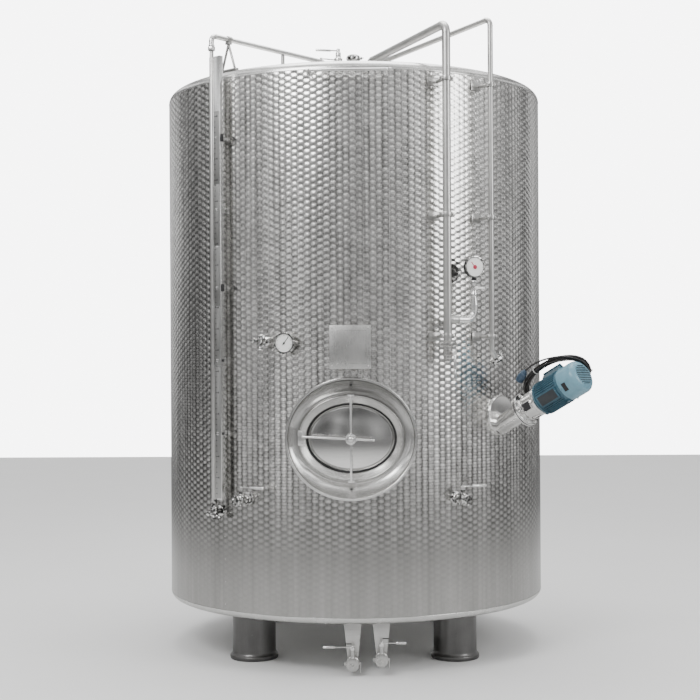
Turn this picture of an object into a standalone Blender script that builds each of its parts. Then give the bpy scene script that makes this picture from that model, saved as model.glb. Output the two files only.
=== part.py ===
"""An upright insulated storage tank on four legs, as separate named solids.

Metres, +Z up. The tank's axis is the Z axis, the floor is z = 0 and the manway faces -Y.
An angle round the tank is in degrees from the front, positive towards +X.
"""

import math

import bmesh
import bpy
from mathutils import Matrix, Vector

# Touching solids keep this gap
GAP = 0.0003

# Shell
TANK_RADIUS = 0.970
WALL = 0.065
SHELL_LOW = 0.249
SHELL_HIGH = 2.838
TOP_KNUCKLE = 0.042
BOTTOM_KNUCKLE = 0.030
ROOF_SLOPE = math.radians(8.0)
ROOF_THICKNESS = 0.030
SEGMENT_STEP = 3.75
FRONT_HALF_ANGLE = 30.0
SIDE_SEGMENT_ANGLE = 37.5
SIDE_SEGMENTS = (
    "right_front",
    "right",
    "right_back",
    "back_right",
    "back_left",
    "left_back",
    "left",
    "left_front",
)

# Legs
LEG_ANGLES = {"front_right": 45.0, "back_right": 135.0, "back_left": 225.0, "front_left": 315.0}
LEG_CENTRE_RADIUS = 0.700
LEG_RADIUS = 0.1055
FOOT_RADIUS = 0.1185
FOOT_HEIGHT = 0.022

# Manway: half widths and half heights of its ovals, and distances from the tank's axis
MANWAY_HEIGHT = 1.100
OVAL_STEPS = 48
LIP_OVAL = (0.3060, 0.2840)
NECK_OVAL = (0.2440, 0.2000)
MOUTH_OVAL = (0.2100, 0.1625)
DOOR_OVAL = (0.2220, 0.1745)
FRONT_SPLIT = 0.150
LIP_PROUD = 0.005
NECK_FRONT = 0.928
NECK_BACK = 0.862
DOOR_THICKNESS = 0.012
DOOR_DOME = 0.018
DOOR_BOSS_FRONT = 0.893
HINGE_X = -0.235
HINGE_Y = -0.850
HINGE_PIN_RADIUS = 0.005
BARREL_RADIUS = 0.009
BARREL_HALF = 0.038
YOKE_HALF_HEIGHT = 0.202
YOKE_WIDTH = 0.010
YOKE_DEPTH = 0.034
SCREW_RADIUS = 0.008
HUB_RADIUS = 0.026
TOMMY_RADIUS = 0.0055
TOMMY_LEFT = 0.224
TOMMY_RIGHT = 0.107
TOMMY_TILT = math.radians(3.0)

# Front fittings
RAIL_HEIGHT = 2.776
RAIL_HALF_LENGTH = 0.194
RAIL_RADIUS = 0.007
RAIL_STAND_OFF = 0.060
PLATE_HEIGHT = 1.520
PLATE_SIZE = (0.188, 0.003, 0.198)
PLATE_BOX = (0.120, 0.054, 0.110)
THERMOMETER_ANGLE = -17.2
THERMOMETER_HEIGHT = 1.540
DIAL_RADIUS = 0.050
DIAL_DEPTH = 0.032
SAMPLER_ANGLE = -24.0
SAMPLER_HEIGHT = 1.550

# Level gauge
GAUGE_ANGLE = -38.5
GAUGE_LOW = 0.808
GAUGE_HIGH = 2.896
CHANNEL_WIDTH = 0.070
CHANNEL_DEPTH = 0.022
CHANNEL_BACK = 1.002
GAUGE_TUBE_OFFSET = -0.022
GAUGE_TUBE_RADIUS = 0.0095
GAUGE_COCK_HEIGHT = 0.752
GAUGE_CLAMP_HEIGHTS = (1.120, 1.464, 1.805, 2.173, 2.510)
GAUGE_CLAMP_SIZE = (0.040, 0.026)

# Side outlets
OUTLET_HEIGHT = 0.818
OUTLET_ANGLE = 30.0
OUTLET_REACH = 0.105
OUTLET_LEVER_LENGTH = 0.130

# Pipes over the roof: angle, distance from the axis, radius, height of the run at the riser and at its end
RISER = {"angle": 24.9, "distance": 1.057, "radius": 0.0195, "high": 3.000, "end_high": 3.004}
VENT = {"angle": 38.9, "distance": 1.048, "radius": 0.0127, "high": 3.055, "end_high": 2.996}
OVERFLOW = {"angle": GAUGE_ANGLE, "distance": 1.022, "radius": 0.0120, "high": 2.998, "end_high": 3.004}
BRACKET_HEIGHTS = (1.568, 2.125, 2.747)
RISER_LOW = 1.533
VENT_LOW = 1.500
BRANCH_HEIGHT = 1.644
TEE_REACH = 0.055
BRANCH_REACH = 0.138
PRESSURE_GAUGE_HEIGHT = 1.887
RISER_LEVER_LENGTH = 0.125
POST_ALONG = 0.480
POST_RADIUS = 0.009

# Drain lines under the floor: distance across, height of the line, lever direction and length
DRAIN_LEFT = {"x": 0.000, "z": 0.055, "side": -1, "lever": 0.137}
DRAIN_RIGHT = {"x": 0.134, "z": 0.074, "side": 1, "lever": 0.114}
DRAIN_RADIUS = 0.019
DRAIN_CLAMP_RADIUS = 0.031
DRAIN_FRONT = 0.925
DRAIN_BACK = {"left": 0.120, "right": 0.220}

# Mixer: the shaft line leaves the wall at this angle and height, tilted up
MIXER_ANGLE = 46.8
MIXER_HEIGHT = 1.145
MIXER_TILT = math.radians(27.0)
MIXER_PAD_RADIUS = 0.096
MIXER_PAD_LIFT = 0.050
MIXER_FLANGE_RADIUS = 0.080
MIXER_FLANGE_AT = 0.168
LANTERN_END = 0.278
MOTOR_RADIUS = 0.080
COWL_RADIUS = 0.078
COWL_START = 0.438
COWL_END = 0.5415
BOX_AT = 0.353
BOX_SIZE = (0.110, 0.090, 0.070)

# Motor cable: places are measured from the shaft line at the terminal box, towards the tank and outwards
GLAND_TIP = 0.077
GLAND_LIFT = 0.104
CABLE_RADIUS = 0.0045
COIL_TUBE_RADIUS = 0.015
COIL_HALF_LENGTH = 0.175
COIL_HALF_WIDTH = 0.100
COIL_STEPS = 32
PLUG_RADIUS = 0.020
PLUG_LENGTH = 0.072
PLUG_TURN = -0.153
LEAD_ROUTE = (
    (0.0, GLAND_TIP + GAP, GLAND_LIFT),
    (0.0, 0.0847, 0.104),
    (0.0008, 0.0924, 0.1039),
    (0.0032, 0.0998, 0.1035),
    (0.0071, 0.1065, 0.1028),
    (0.0123, 0.1123, 0.1021),
    (0.0185, 0.1168, 0.1012),
    (0.0256, 0.1200, 0.1002),
    (0.0332, 0.1216, 0.0992),
    (0.0410, 0.1216, 0.0982),
    (0.0461, 0.1207, 0.0976),
    (0.0516, 0.1189, 0.0970),
)

FINISHES = {
    "marbled_steel": ((0.52, 0.51, 0.50), 0.32, 1.0),
    "polished_steel": ((0.70, 0.70, 0.70), 0.15, 1.0),
    "satin_steel": ((0.60, 0.60, 0.60), 0.35, 1.0),
    "sight_glass": ((0.80, 0.86, 0.86), 0.05, 0.0),
    "dial_white": ((0.86, 0.86, 0.86), 0.40, 0.0),
    "motor_blue": ((0.07, 0.19, 0.26), 0.45, 0.0),
    "cowl_blue": ((0.24, 0.42, 0.52), 0.45, 0.0),
    "black_cable": ((0.02, 0.02, 0.02), 0.50, 0.0),
    "plug_blue": ((0.03, 0.06, 0.12), 0.45, 0.0),
}


def clear_scene():
    for item in list(bpy.data.objects):
        bpy.data.objects.remove(item, do_unlink=True)


def collection(name):
    made = bpy.data.collections.new(name)
    bpy.context.scene.collection.children.link(made)
    return made


clear_scene()
PARTS = collection("storage_tank")
HELPERS = collection("helpers")
HELPERS.hide_render = True


def finish(name):
    """The material of that name, made at its first use."""
    found = bpy.data.materials.get(name)
    if found is None:
        colour, roughness, metallic = FINISHES[name]
        found = bpy.data.materials.new(name)
        found.use_nodes = True
        surface = found.node_tree.nodes["Principled BSDF"]
        surface.inputs["Base Color"].default_value = (*colour, 1.0)
        surface.inputs["Roughness"].default_value = roughness
        surface.inputs["Metallic"].default_value = metallic
    return found


def turn_to(direction):
    """The rotation that takes +Z to this direction."""
    return Vector(direction).to_track_quat("Z", "Y").to_matrix().to_4x4()


def wall_frame(angle, distance, height):
    """A frame on the wall: x to the right seen from outside, y inwards, z up."""
    turn = Matrix.Rotation(math.radians(angle), 4, "Z")
    return turn @ Matrix.Translation((0.0, -distance, height))


def shape(name, mesh, place=None):
    """A helper object that holds this mesh, until node() or fuse() takes it."""
    made = bpy.data.objects.new(name, mesh)
    HELPERS.objects.link(made)
    made.hide_render = True
    made.display_type = "WIRE"
    if place is not None:
        made.matrix_world = place
    return made


def from_bmesh(name, work, place=None):
    mesh = bpy.data.meshes.new(name)
    work.to_mesh(mesh)
    work.free()
    return shape(name, mesh, place)


def block(centre, size, place=None, turn=None):
    work = bmesh.new()
    bmesh.ops.create_cube(work, size=1.0)
    grown = Matrix.Diagonal((*size, 1.0))
    matrix = Matrix.Translation(centre) @ (turn or Matrix.Identity(4)) @ grown
    bmesh.ops.transform(work, matrix=matrix, verts=work.verts)
    return from_bmesh("block", work, place)


def rod(start, end, radius, place=None, sides=16, end_radius=None):
    """A cylinder or cone between two points."""
    start, end = Vector(start), Vector(end)
    matrix = Matrix.Translation((start + end) / 2) @ turn_to(end - start)
    work = bmesh.new()
    bmesh.ops.create_cone(
        work,
        cap_ends=True,
        segments=sides,
        radius1=radius,
        radius2=radius if end_radius is None else end_radius,
        depth=(end - start).length,
        matrix=matrix,
    )
    return from_bmesh("rod", work, place)


def turned(profile, start, direction, place=None, steps=32):
    """A solid turned round the line from start; the profile runs from tip to base as (radius, along)."""
    mesh = bpy.data.meshes.new("turned")
    edges = [(i, i + 1) for i in range(len(profile) - 1)]
    mesh.from_pydata([(radius, 0.0, along) for radius, along in profile], edges, [])
    stand = Matrix.Translation(start) @ turn_to(direction)
    made = shape("turned", mesh, (place or Matrix.Identity(4)) @ stand)
    screw = made.modifiers.new("turn", "SCREW")
    screw.steps = steps
    screw.render_steps = steps
    screw.use_merge_vertices = True
    screw.merge_threshold = 0.00001
    screw.use_smooth_shade = True
    return made


def as_mesh(made):
    """A curve or modified helper as a plain mesh helper, with its caps welded."""
    bpy.context.view_layer.update()
    graph = bpy.context.evaluated_depsgraph_get()
    mesh = bpy.data.meshes.new_from_object(made.evaluated_get(graph))
    work = bmesh.new()
    work.from_mesh(mesh)
    bmesh.ops.remove_doubles(work, verts=work.verts, dist=0.00001)
    bmesh.ops.recalc_face_normals(work, faces=work.faces)
    work.to_mesh(mesh)
    work.free()
    solid = shape(made.name, mesh, made.matrix_world.copy())
    bpy.data.objects.remove(made, do_unlink=True)
    return solid


def bent_path(corners, bend, steps=6):
    """The corners' path with each inner corner rounded by an arc of this radius."""
    corners = [Vector(corner) for corner in corners]
    path = [corners[0]]
    for before, corner, after in zip(corners, corners[1:], corners[2:]):
        back = (before - corner).normalized()
        ahead = (after - corner).normalized()
        half = back.angle(ahead) / 2
        reach = bend / math.tan(half)
        centre = corner + (back + ahead).normalized() * (bend / math.sin(half))
        first = (corner + back * reach - centre) / bend
        sweep = math.pi - 2 * half
        for i in range(steps + 1):
            a = sweep * i / steps
            path.append(centre + (first * math.cos(a) - back * math.sin(a)) * bend)
    return path + [corners[-1]]


def tube(points, radius, place=None, resolution=2, cyclic=False):
    """A round bar along these points."""
    data = bpy.data.curves.new("tube", "CURVE")
    data.dimensions = "3D"
    data.bevel_depth = radius
    data.bevel_resolution = resolution
    data.use_fill_caps = not cyclic
    spline = data.splines.new("POLY")
    spline.points.add(len(points) - 1)
    for point, corner in zip(spline.points, points):
        point.co = (*corner, 1.0)
    spline.use_cyclic_u = cyclic
    made = bpy.data.objects.new("tube", data)
    HELPERS.objects.link(made)
    made.matrix_world = place or Matrix.Identity(4)
    return as_mesh(made)


def flat(outline, low, high, place=None):
    """An upright plate of this outline between two heights."""
    data = bpy.data.curves.new("flat", "CURVE")
    data.dimensions = "2D"
    data.fill_mode = "BOTH"
    data.extrude = (high - low) / 2
    spline = data.splines.new("POLY")
    spline.points.add(len(outline) - 1)
    for point, (x, y) in zip(spline.points, outline):
        point.co = (x, y, 0.0, 1.0)
    spline.use_cyclic_u = True
    made = bpy.data.objects.new("flat", data)
    HELPERS.objects.link(made)
    lift = Matrix.Translation((0.0, 0.0, (low + high) / 2))
    made.matrix_world = (place or Matrix.Identity(4)) @ lift
    return as_mesh(made)


def oval(size, distance, follows_wall):
    """Points of an oval on a plane, or on a cylinder round the tank's axis, at this distance."""
    points = []
    for i in range(OVAL_STEPS):
        around = 2 * math.pi * i / OVAL_STEPS
        x = size[0] * math.cos(around)
        z = size[1] * math.sin(around)
        y = -math.sqrt(distance**2 - x**2) if follows_wall else -distance
        points.append(Vector((x, y, z)))
    return points


def loft(sections, place, ring):
    """A solid through oval sections in turn: a closed ring, or a plug with its two ends capped."""
    work = bmesh.new()
    loops = [[work.verts.new(point) for point in section] for section in sections]
    pairs = list(zip(loops, loops[1:]))
    if ring:
        pairs.append((loops[-1], loops[0]))
    for one, other in pairs:
        for i in range(OVAL_STEPS):
            j = (i + 1) % OVAL_STEPS
            work.faces.new((one[i], one[j], other[j], other[i]))
    if not ring:
        work.faces.new(loops[0])
        work.faces.new(loops[-1])
    bmesh.ops.recalc_face_normals(work, faces=work.faces)
    return from_bmesh("loft", work, place)


def boolean(target, tool, operation):
    step = target.modifiers.new(operation.lower(), "BOOLEAN")
    step.operation = operation
    step.solver = "EXACT"
    step.object = tool


def fuse(*shapes):
    """The first shape, joined by the others."""
    for other in shapes[1:]:
        boolean(shapes[0], other, "UNION")
    return shapes[0]


def cut(target, *tools):
    for tool in tools:
        boolean(target, tool, "DIFFERENCE")
    return target


def node(name, made, look, smooth=35.0):
    """Makes a helper one of the tank's named parts."""
    HELPERS.objects.unlink(made)
    PARTS.objects.link(made)
    made.hide_render = False
    made.display_type = "TEXTURED"
    made.name = name
    made.data.name = name
    made.data.materials.clear()
    made.data.materials.append(finish(look))
    made.data.shade_smooth()
    if made.data.edges:
        made.data.set_sharp_from_angle(angle=math.radians(smooth))
    return made


def centred_on(made, pivot):
    """Moves the object's origin to the pivot and leaves its shape where it is."""
    world = made.matrix_world.copy()
    made.data.transform(Matrix.Translation(-(world.inverted() @ Vector(pivot))))
    made.matrix_world = world @ Matrix.Translation(world.inverted() @ Vector(pivot))
    return made


def arc_outline(start, end, inner, outer):
    """Plan of a piece of the round wall between two angles."""
    steps = max(2, round((end - start) / SEGMENT_STEP))
    angles = [math.radians(start + (end - start) * i / steps) for i in range(steps + 1)]
    out = [(outer * math.sin(a), -outer * math.cos(a)) for a in angles]
    back = [(inner * math.sin(a), -inner * math.cos(a)) for a in reversed(angles)]
    return out + back


def wall_piece(start, end, low, high):
    gap = math.degrees(GAP / TANK_RADIUS)
    outline = arc_outline(start + gap, end - gap, TANK_RADIUS - WALL, TANK_RADIUS)
    return flat(outline, low + GAP, high - GAP)


def build_walls():
    low = SHELL_LOW + BOTTOM_KNUCKLE
    high = SHELL_HIGH - TOP_KNUCKLE
    hole = (LIP_OVAL[0] + GAP, LIP_OVAL[1] + GAP)
    outer = oval(hole, TANK_RADIUS + 0.05, False)
    inner = oval(hole, TANK_RADIUS - 0.20, False)
    stand = Matrix.Translation((0.0, 0.0, MANWAY_HEIGHT))
    opening = loft([outer, inner], stand, False)
    below = MANWAY_HEIGHT - FRONT_SPLIT
    above = MANWAY_HEIGHT + FRONT_SPLIT
    front = {
        "wall_front_lower": (-FRONT_HALF_ANGLE, FRONT_HALF_ANGLE, low, below),
        "wall_front_left": (-FRONT_HALF_ANGLE, 0.0, below, above),
        "wall_front_right": (0.0, FRONT_HALF_ANGLE, below, above),
        "wall_front_upper": (-FRONT_HALF_ANGLE, FRONT_HALF_ANGLE, above, high),
    }
    for name, limits in front.items():
        node(name, cut(wall_piece(*limits), opening), "marbled_steel")
    for i, name in enumerate(SIDE_SEGMENTS):
        start = FRONT_HALF_ANGLE + i * SIDE_SEGMENT_ANGLE
        piece = wall_piece(start, start + SIDE_SEGMENT_ANGLE, low, high)
        node("wall_" + name, piece, "marbled_steel")


def knuckle(radius, edge, height, rises):
    """Points of the rounded corner between a flat end and the wall, from the end outwards."""
    steps = 4
    points = []
    for i in range(steps + 1):
        a = math.pi / 2 * i / steps
        lift = radius * math.cos(a)
        points.append((edge - radius + radius * math.sin(a), height + (lift if rises else -lift)))
    return points


def build_ends():
    start = SHELL_HIGH - TOP_KNUCKLE + GAP
    top_edge = TANK_RADIUS - TOP_KNUCKLE
    apex = SHELL_HIGH + top_edge * math.tan(ROOF_SLOPE)
    profile = [(0.0, apex)] + knuckle(TOP_KNUCKLE, TANK_RADIUS, start, True)
    profile += [(TANK_RADIUS - WALL, start), (TANK_RADIUS - WALL, SHELL_HIGH - ROOF_THICKNESS)]
    profile += [(0.0, apex - ROOF_THICKNESS)]
    node("roof", turned(profile, (0, 0, 0), (0, 0, 1), steps=96), "satin_steel")
    end = SHELL_LOW + BOTTOM_KNUCKLE - GAP
    lower = knuckle(BOTTOM_KNUCKLE, TANK_RADIUS, end, False)
    rim = TANK_RADIUS - WALL - 0.001
    profile = [(0.0, end + 0.035), (rim, end + 0.035), (rim, end)]
    profile += list(reversed(lower)) + [(0.0, SHELL_LOW)]
    node("tank_floor", turned(profile, (0, 0, 0), (0, 0, 1), steps=96), "satin_steel")


def build_legs():
    top = SHELL_LOW - GAP
    bead = [
        (LEG_RADIUS, FOOT_HEIGHT + 0.006),
        (FOOT_RADIUS - 0.004, FOOT_HEIGHT),
        (FOOT_RADIUS, FOOT_HEIGHT - 0.005),
        (FOOT_RADIUS, 0.004),
        (FOOT_RADIUS - 0.004, 0.0),
    ]
    profile = [(0.0, top), (LEG_RADIUS, top)] + bead + [(0.0, 0.0)]
    for name, angle in LEG_ANGLES.items():
        place = wall_frame(angle, LEG_CENTRE_RADIUS, 0.0)
        node("leg_" + name, turned(profile, (0, 0, 0), (0, 0, 1), place, 32), "satin_steel")


def build_manway():
    place = Matrix.Translation((0.0, 0.0, MANWAY_HEIGHT))
    neck = (NECK_OVAL[0] + GAP, NECK_OVAL[1] + GAP)
    lip = (LIP_OVAL[0] - 0.012, LIP_OVAL[1] - 0.012)
    collar = [
        oval(LIP_OVAL, TANK_RADIUS + 0.001, True),
        oval((LIP_OVAL[0] - 0.004, LIP_OVAL[1] - 0.004), TANK_RADIUS + LIP_PROUD, True),
        oval((lip[0] + 0.004, lip[1] + 0.004), TANK_RADIUS + LIP_PROUD, True),
        oval(lip, TANK_RADIUS, True),
        oval((neck[0] + 0.012, neck[1] + 0.012), NECK_FRONT - 0.022, False),
        oval(neck, NECK_FRONT - 0.026, False),
        oval(neck, NECK_FRONT - 0.056, False),
        oval(LIP_OVAL, TANK_RADIUS - WALL, True),
    ]
    node("manway_collar", loft(collar, place, True), "polished_steel")

    ring = [
        oval(NECK_OVAL, NECK_FRONT - 0.003, False),
        oval((NECK_OVAL[0] - 0.003, NECK_OVAL[1] - 0.003), NECK_FRONT, False),
        oval((NECK_OVAL[0] - 0.007, NECK_OVAL[1] - 0.007), NECK_FRONT - 0.001, False),
        oval((MOUTH_OVAL[0] + 0.002, MOUTH_OVAL[1] + 0.002), NECK_FRONT - 0.022, False),
        oval(MOUTH_OVAL, NECK_FRONT - 0.025, False),
        oval(MOUTH_OVAL, NECK_BACK, False),
        oval(NECK_OVAL, NECK_BACK, False),
    ]
    lug_low = BARREL_HALF + 0.003
    lug_size = (0.024, 0.028, 0.014)
    lug_y = HINGE_Y - lug_size[1] / 2 + 0.012
    pieces = [loft(ring, place, True)]
    for side in (-1, 1):
        lug_z = side * (lug_low + lug_size[2] / 2)
        pieces.append(block((HINGE_X, lug_y, lug_z), lug_size, place))
    pin_half = lug_low + lug_size[2] - 0.002
    pin_ends = (HINGE_X, HINGE_Y, -pin_half), (HINGE_X, HINGE_Y, pin_half)
    pieces.append(rod(*pin_ends, HINGE_PIN_RADIUS, place))
    bracket_x = -NECK_OVAL[0] + 0.014
    pieces.append(block((bracket_x, -NECK_FRONT - 0.002, 0.004), (0.030, 0.022, 0.070), place))
    node("manway_neck", fuse(*pieces), "polished_steel")

    door_front = NECK_BACK - GAP
    door = [
        oval((0.004, 0.003), door_front + DOOR_DOME, False),
        oval((0.080, 0.062), door_front + DOOR_DOME * 0.86, False),
        oval((0.150, 0.116), door_front + DOOR_DOME * 0.45, False),
        oval((MOUTH_OVAL[0] - 0.008, MOUTH_OVAL[1] - 0.008), door_front, False),
        oval((DOOR_OVAL[0], DOOR_OVAL[1]), door_front, False),
        oval((DOOR_OVAL[0], DOOR_OVAL[1]), door_front - DOOR_THICKNESS, False),
        oval((0.004, 0.003), door_front - DOOR_THICKNESS + 0.001, False),
    ]
    barrel_ends = (HINGE_X, HINGE_Y, -BARREL_HALF), (HINGE_X, HINGE_Y, BARREL_HALF)
    ear_x = (HINGE_X - DOOR_OVAL[0] + 0.012) / 2
    ear_size = (-HINGE_X - DOOR_OVAL[0] + 0.014, 0.010, 2 * BARREL_HALF - 0.01)
    ear = block((ear_x, HINGE_Y - 0.004, 0.0), ear_size, place)
    boss = rod((0.0, -door_front, 0.0), (0.0, -DOOR_BOSS_FRONT, 0.0), 0.020, place, 24)
    solid = fuse(loft(door, place, False), boss, ear, rod(*barrel_ends, BARREL_RADIUS, place, 20))
    bore_ends = (HINGE_X, HINGE_Y, -2 * BARREL_HALF), (HINGE_X, HINGE_Y, 2 * BARREL_HALF)
    cut(solid, rod(*bore_ends, HINGE_PIN_RADIUS + GAP, place))
    made = node("manway_door", solid, "polished_steel")
    centred_on(made, (HINGE_X, HINGE_Y, MANWAY_HEIGHT))

    yoke_back = NECK_FRONT + GAP
    yoke_mid = -(yoke_back + YOKE_DEPTH / 2)
    bar = block((0.0, yoke_mid, 0.0), (YOKE_WIDTH, YOKE_DEPTH, 2 * YOKE_HALF_HEIGHT), place)
    boss_ends = (0.0, -yoke_back, 0.0), (0.0, -yoke_back - YOKE_DEPTH, 0.0)
    yoke = fuse(bar, rod(*boss_ends, 0.021, place, 24))
    cut(yoke, rod((0.0, -0.80, 0.0), (0.0, -1.10, 0.0), SCREW_RADIUS + GAP, place, 20))
    node("manway_yoke", yoke, "satin_steel")

    hub_back = yoke_back + YOKE_DEPTH + GAP
    hub_profile = [
        (0.0, 0.044),
        (0.010, 0.042),
        (0.018, 0.036),
        (0.020, 0.030),
        (HUB_RADIUS, 0.028),
        (HUB_RADIUS, 0.0),
        (0.0, 0.0),
    ]
    hub = turned(hub_profile, (0.0, -hub_back, 0.0), (0, -1, 0), place, 24)
    screw = rod((0.0, -DOOR_BOSS_FRONT - GAP, 0.0), (0.0, -hub_back - 0.01, 0.0), SCREW_RADIUS, place, 20)
    along = Vector((math.cos(TOMMY_TILT), 0.0, -math.sin(TOMMY_TILT)))
    middle = Vector((0.0, -hub_back - 0.015, 0.0))
    bar_ends = middle - along * TOMMY_LEFT, middle + along * TOMMY_RIGHT
    made = node("manway_handle", fuse(hub, screw, rod(*bar_ends, TOMMY_RADIUS, place)), "polished_steel")
    centred_on(made, (0.0, -hub_back, MANWAY_HEIGHT))


def build_front_fittings():
    distance = TANK_RADIUS + RAIL_STAND_OFF
    ends = (-RAIL_HALF_LENGTH, -distance, RAIL_HEIGHT), (RAIL_HALF_LENGTH, -distance, RAIL_HEIGHT)
    pieces = [rod(*ends, RAIL_RADIUS)]
    for x in (-RAIL_HALF_LENGTH + 0.012, RAIL_HALF_LENGTH - 0.012):
        wall_y = -math.sqrt(TANK_RADIUS**2 - x**2) - GAP
        foot_ends = (x, wall_y - 0.001, RAIL_HEIGHT), (x, -distance, RAIL_HEIGHT)
        pieces.append(rod(*foot_ends, RAIL_RADIUS - 0.001))
    node("ladder_rail", fuse(*pieces), "polished_steel")

    place = wall_frame(0.0, TANK_RADIUS + GAP, PLATE_HEIGHT)
    plate_y = -PLATE_BOX[1] - PLATE_SIZE[1] / 2 + 0.001
    stand = block((0.0, -PLATE_BOX[1] / 2, 0.0), PLATE_BOX, place)
    node("data_plate", fuse(stand, block((0.0, plate_y, 0.0), PLATE_SIZE, place)), "satin_steel")

    place = wall_frame(THERMOMETER_ANGLE, TANK_RADIUS + GAP, THERMOMETER_HEIGHT)
    case_start = 0.028
    profile = [
        (0.0, case_start + DIAL_DEPTH),
        (DIAL_RADIUS - 0.003, case_start + DIAL_DEPTH),
        (DIAL_RADIUS, case_start + DIAL_DEPTH - 0.003),
        (DIAL_RADIUS, case_start + 0.004),
        (DIAL_RADIUS - 0.006, case_start),
        (0.012, case_start),
        (0.012, 0.010),
        (0.022, 0.010),
        (0.022, 0.0),
        (0.0, 0.0),
    ]
    node("thermometer", turned(profile, (0, 0, 0), (0, -1, 0), place), "polished_steel")

    place = wall_frame(SAMPLER_ANGLE, TANK_RADIUS + GAP, SAMPLER_HEIGHT)
    profile = [(0.0, 0.070), (0.013, 0.070), (0.016, 0.064), (0.016, 0.040), (0.011, 0.038)]
    profile += [(0.011, 0.010), (0.023, 0.010), (0.023, 0.0), (0.0, 0.0)]
    body = turned(profile, (0, 0, 0), (0, -1, 0), place, 20)
    knob = rod((-0.010, -0.052, 0.004), (-0.045, -0.052, 0.004), 0.012, place)
    spout = rod((0.0, -0.052, 0.0), (0.0, -0.052, -0.042), 0.009, place)
    cap = turned([(0.0, 0.026), (0.012, 0.024), (0.019, 0.016), (0.019, 0.0), (0.0, 0.0)],
                 (0.006, -0.052, 0.008), (0, 0, 1), place, 20)
    node("sampling_cock", fuse(body, knob, spout, cap), "polished_steel")


def build_level_gauge():
    place = wall_frame(GAUGE_ANGLE, 0.0, 0.0)
    front = CHANNEL_BACK + CHANNEL_DEPTH
    middle = -(CHANNEL_BACK + front) / 2
    height = GAUGE_HIGH - GAUGE_LOW
    centre_z = (GAUGE_HIGH + GAUGE_LOW) / 2
    channel = block((0.0, middle, centre_z), (CHANNEL_WIDTH, CHANNEL_DEPTH, height), place)
    clamps = []
    stand_off = (CHANNEL_BACK - TANK_RADIUS) + 0.004
    clamp_y = -(TANK_RADIUS + GAP + stand_off / 2)
    clamp_size = (GAUGE_CLAMP_SIZE[0], stand_off, GAUGE_CLAMP_SIZE[1])
    for z in GAUGE_CLAMP_HEIGHTS:
        clamps.append(block((0.0, clamp_y, z), clamp_size, place))
    fuse(channel, *clamps)
    room = 2 * GAUGE_TUBE_RADIUS + 0.003
    groove = block((GAUGE_TUBE_OFFSET, -front, centre_z), (room, 0.030, height + 0.1), place)
    node("gauge_channel", cut(channel, groove), "satin_steel")
    tube_y = -front + 0.0035
    ends = (GAUGE_TUBE_OFFSET, tube_y, GAUGE_LOW), (GAUGE_TUBE_OFFSET, tube_y, GAUGE_HIGH + 0.030)
    node("gauge_tube", rod(*ends, GAUGE_TUBE_RADIUS, place), "sight_glass")

    x = GAUGE_TUBE_OFFSET
    z = GAUGE_COCK_HEIGHT
    wall_y = -TANK_RADIUS - GAP
    nut = rod((x, tube_y, z), (x, tube_y, GAUGE_LOW - GAP), 0.014, place)
    body = rod((x, tube_y, z - 0.030), (x, tube_y, z + 0.022), 0.019, place)
    arm = rod((x - 0.046, tube_y, z - 0.012), (x + 0.020, tube_y, z - 0.012), 0.014, place)
    feed = rod((x, tube_y, z), (x, wall_y, z), 0.013, place)
    flange = rod((x, wall_y - 0.012, z), (x, wall_y, z), 0.026, place)
    node("gauge_cock", fuse(body, nut, arm, feed, flange), "polished_steel")


def build_side_outlet(name, angle):
    """Radial outlet with a valve; its lever lies along the wall when shut and turns to point outwards."""
    place = wall_frame(angle, TANK_RADIUS + GAP, OUTLET_HEIGHT)
    reach = OUTLET_REACH
    profile = [
        (0.0, reach),
        (0.014, reach),
        (0.020, reach - 0.001),
        (0.020, reach - 0.016),
        (0.015, reach - 0.018),
        (0.015, reach - 0.024),
        (0.022, reach - 0.026),
        (0.022, 0.034),
        (0.016, 0.032),
        (0.016, 0.008),
        (0.030, 0.006),
        (0.030, 0.0),
        (0.0, 0.0),
    ]
    stem_y = -0.058
    body = turned(profile, (0, 0, 0), (0, -1, 0), place, 18)
    stem = rod((0.0, stem_y, 0.010), (0.0, stem_y, 0.042), 0.011, place)
    node(name + "_outlet_valve", fuse(body, stem), "polished_steel")
    base = 0.042 + GAP
    hub = rod((0.0, stem_y, base), (0.0, stem_y, base + 0.020), 0.012, place)
    arm_z = base + 0.014
    blade_size = (OUTLET_LEVER_LENGTH * 0.6, 0.012, 0.004)
    blade = block((OUTLET_LEVER_LENGTH * 0.3, stem_y, arm_z), blade_size, place)
    grip_ends = (OUTLET_LEVER_LENGTH * 0.30, stem_y, arm_z), (OUTLET_LEVER_LENGTH, stem_y, arm_z)
    made = node(name + "_outlet_lever", fuse(hub, blade, rod(*grip_ends, 0.0065, place)), "polished_steel")
    return centred_on(made, place @ Vector((0.0, stem_y, base)))


def pipe_over_roof(line, end_distance):
    """The run from the top of an upright pipe to the middle of the roof, with its last bend down."""
    a = math.radians(line["angle"])
    out = Vector((math.sin(a), -math.cos(a), 0.0))
    start = out * line["distance"]
    start.z = line["high"]
    end = out * end_distance
    end.z = line["end_high"]
    return start, end


def bracket(line, height):
    """A wall plate and a clamp block round an upright pipe."""
    place = wall_frame(line["angle"], 0.0, height)
    reach = line["distance"] - TANK_RADIUS - GAP
    middle = -(TANK_RADIUS + GAP + reach / 2)
    arm = block((-0.014, middle, 0.0), (0.050, reach, 0.020), place)
    clamp_width = 2 * line["radius"] + 0.030
    clamp = block((0.0, -line["distance"], 0.0), (clamp_width, 2 * line["radius"] + 0.008, 0.024), place)
    foot = block((-0.040, -TANK_RADIUS - 0.0035, 0.0), (0.070, 0.006, 0.044), place)
    return [arm, clamp, foot]


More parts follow.
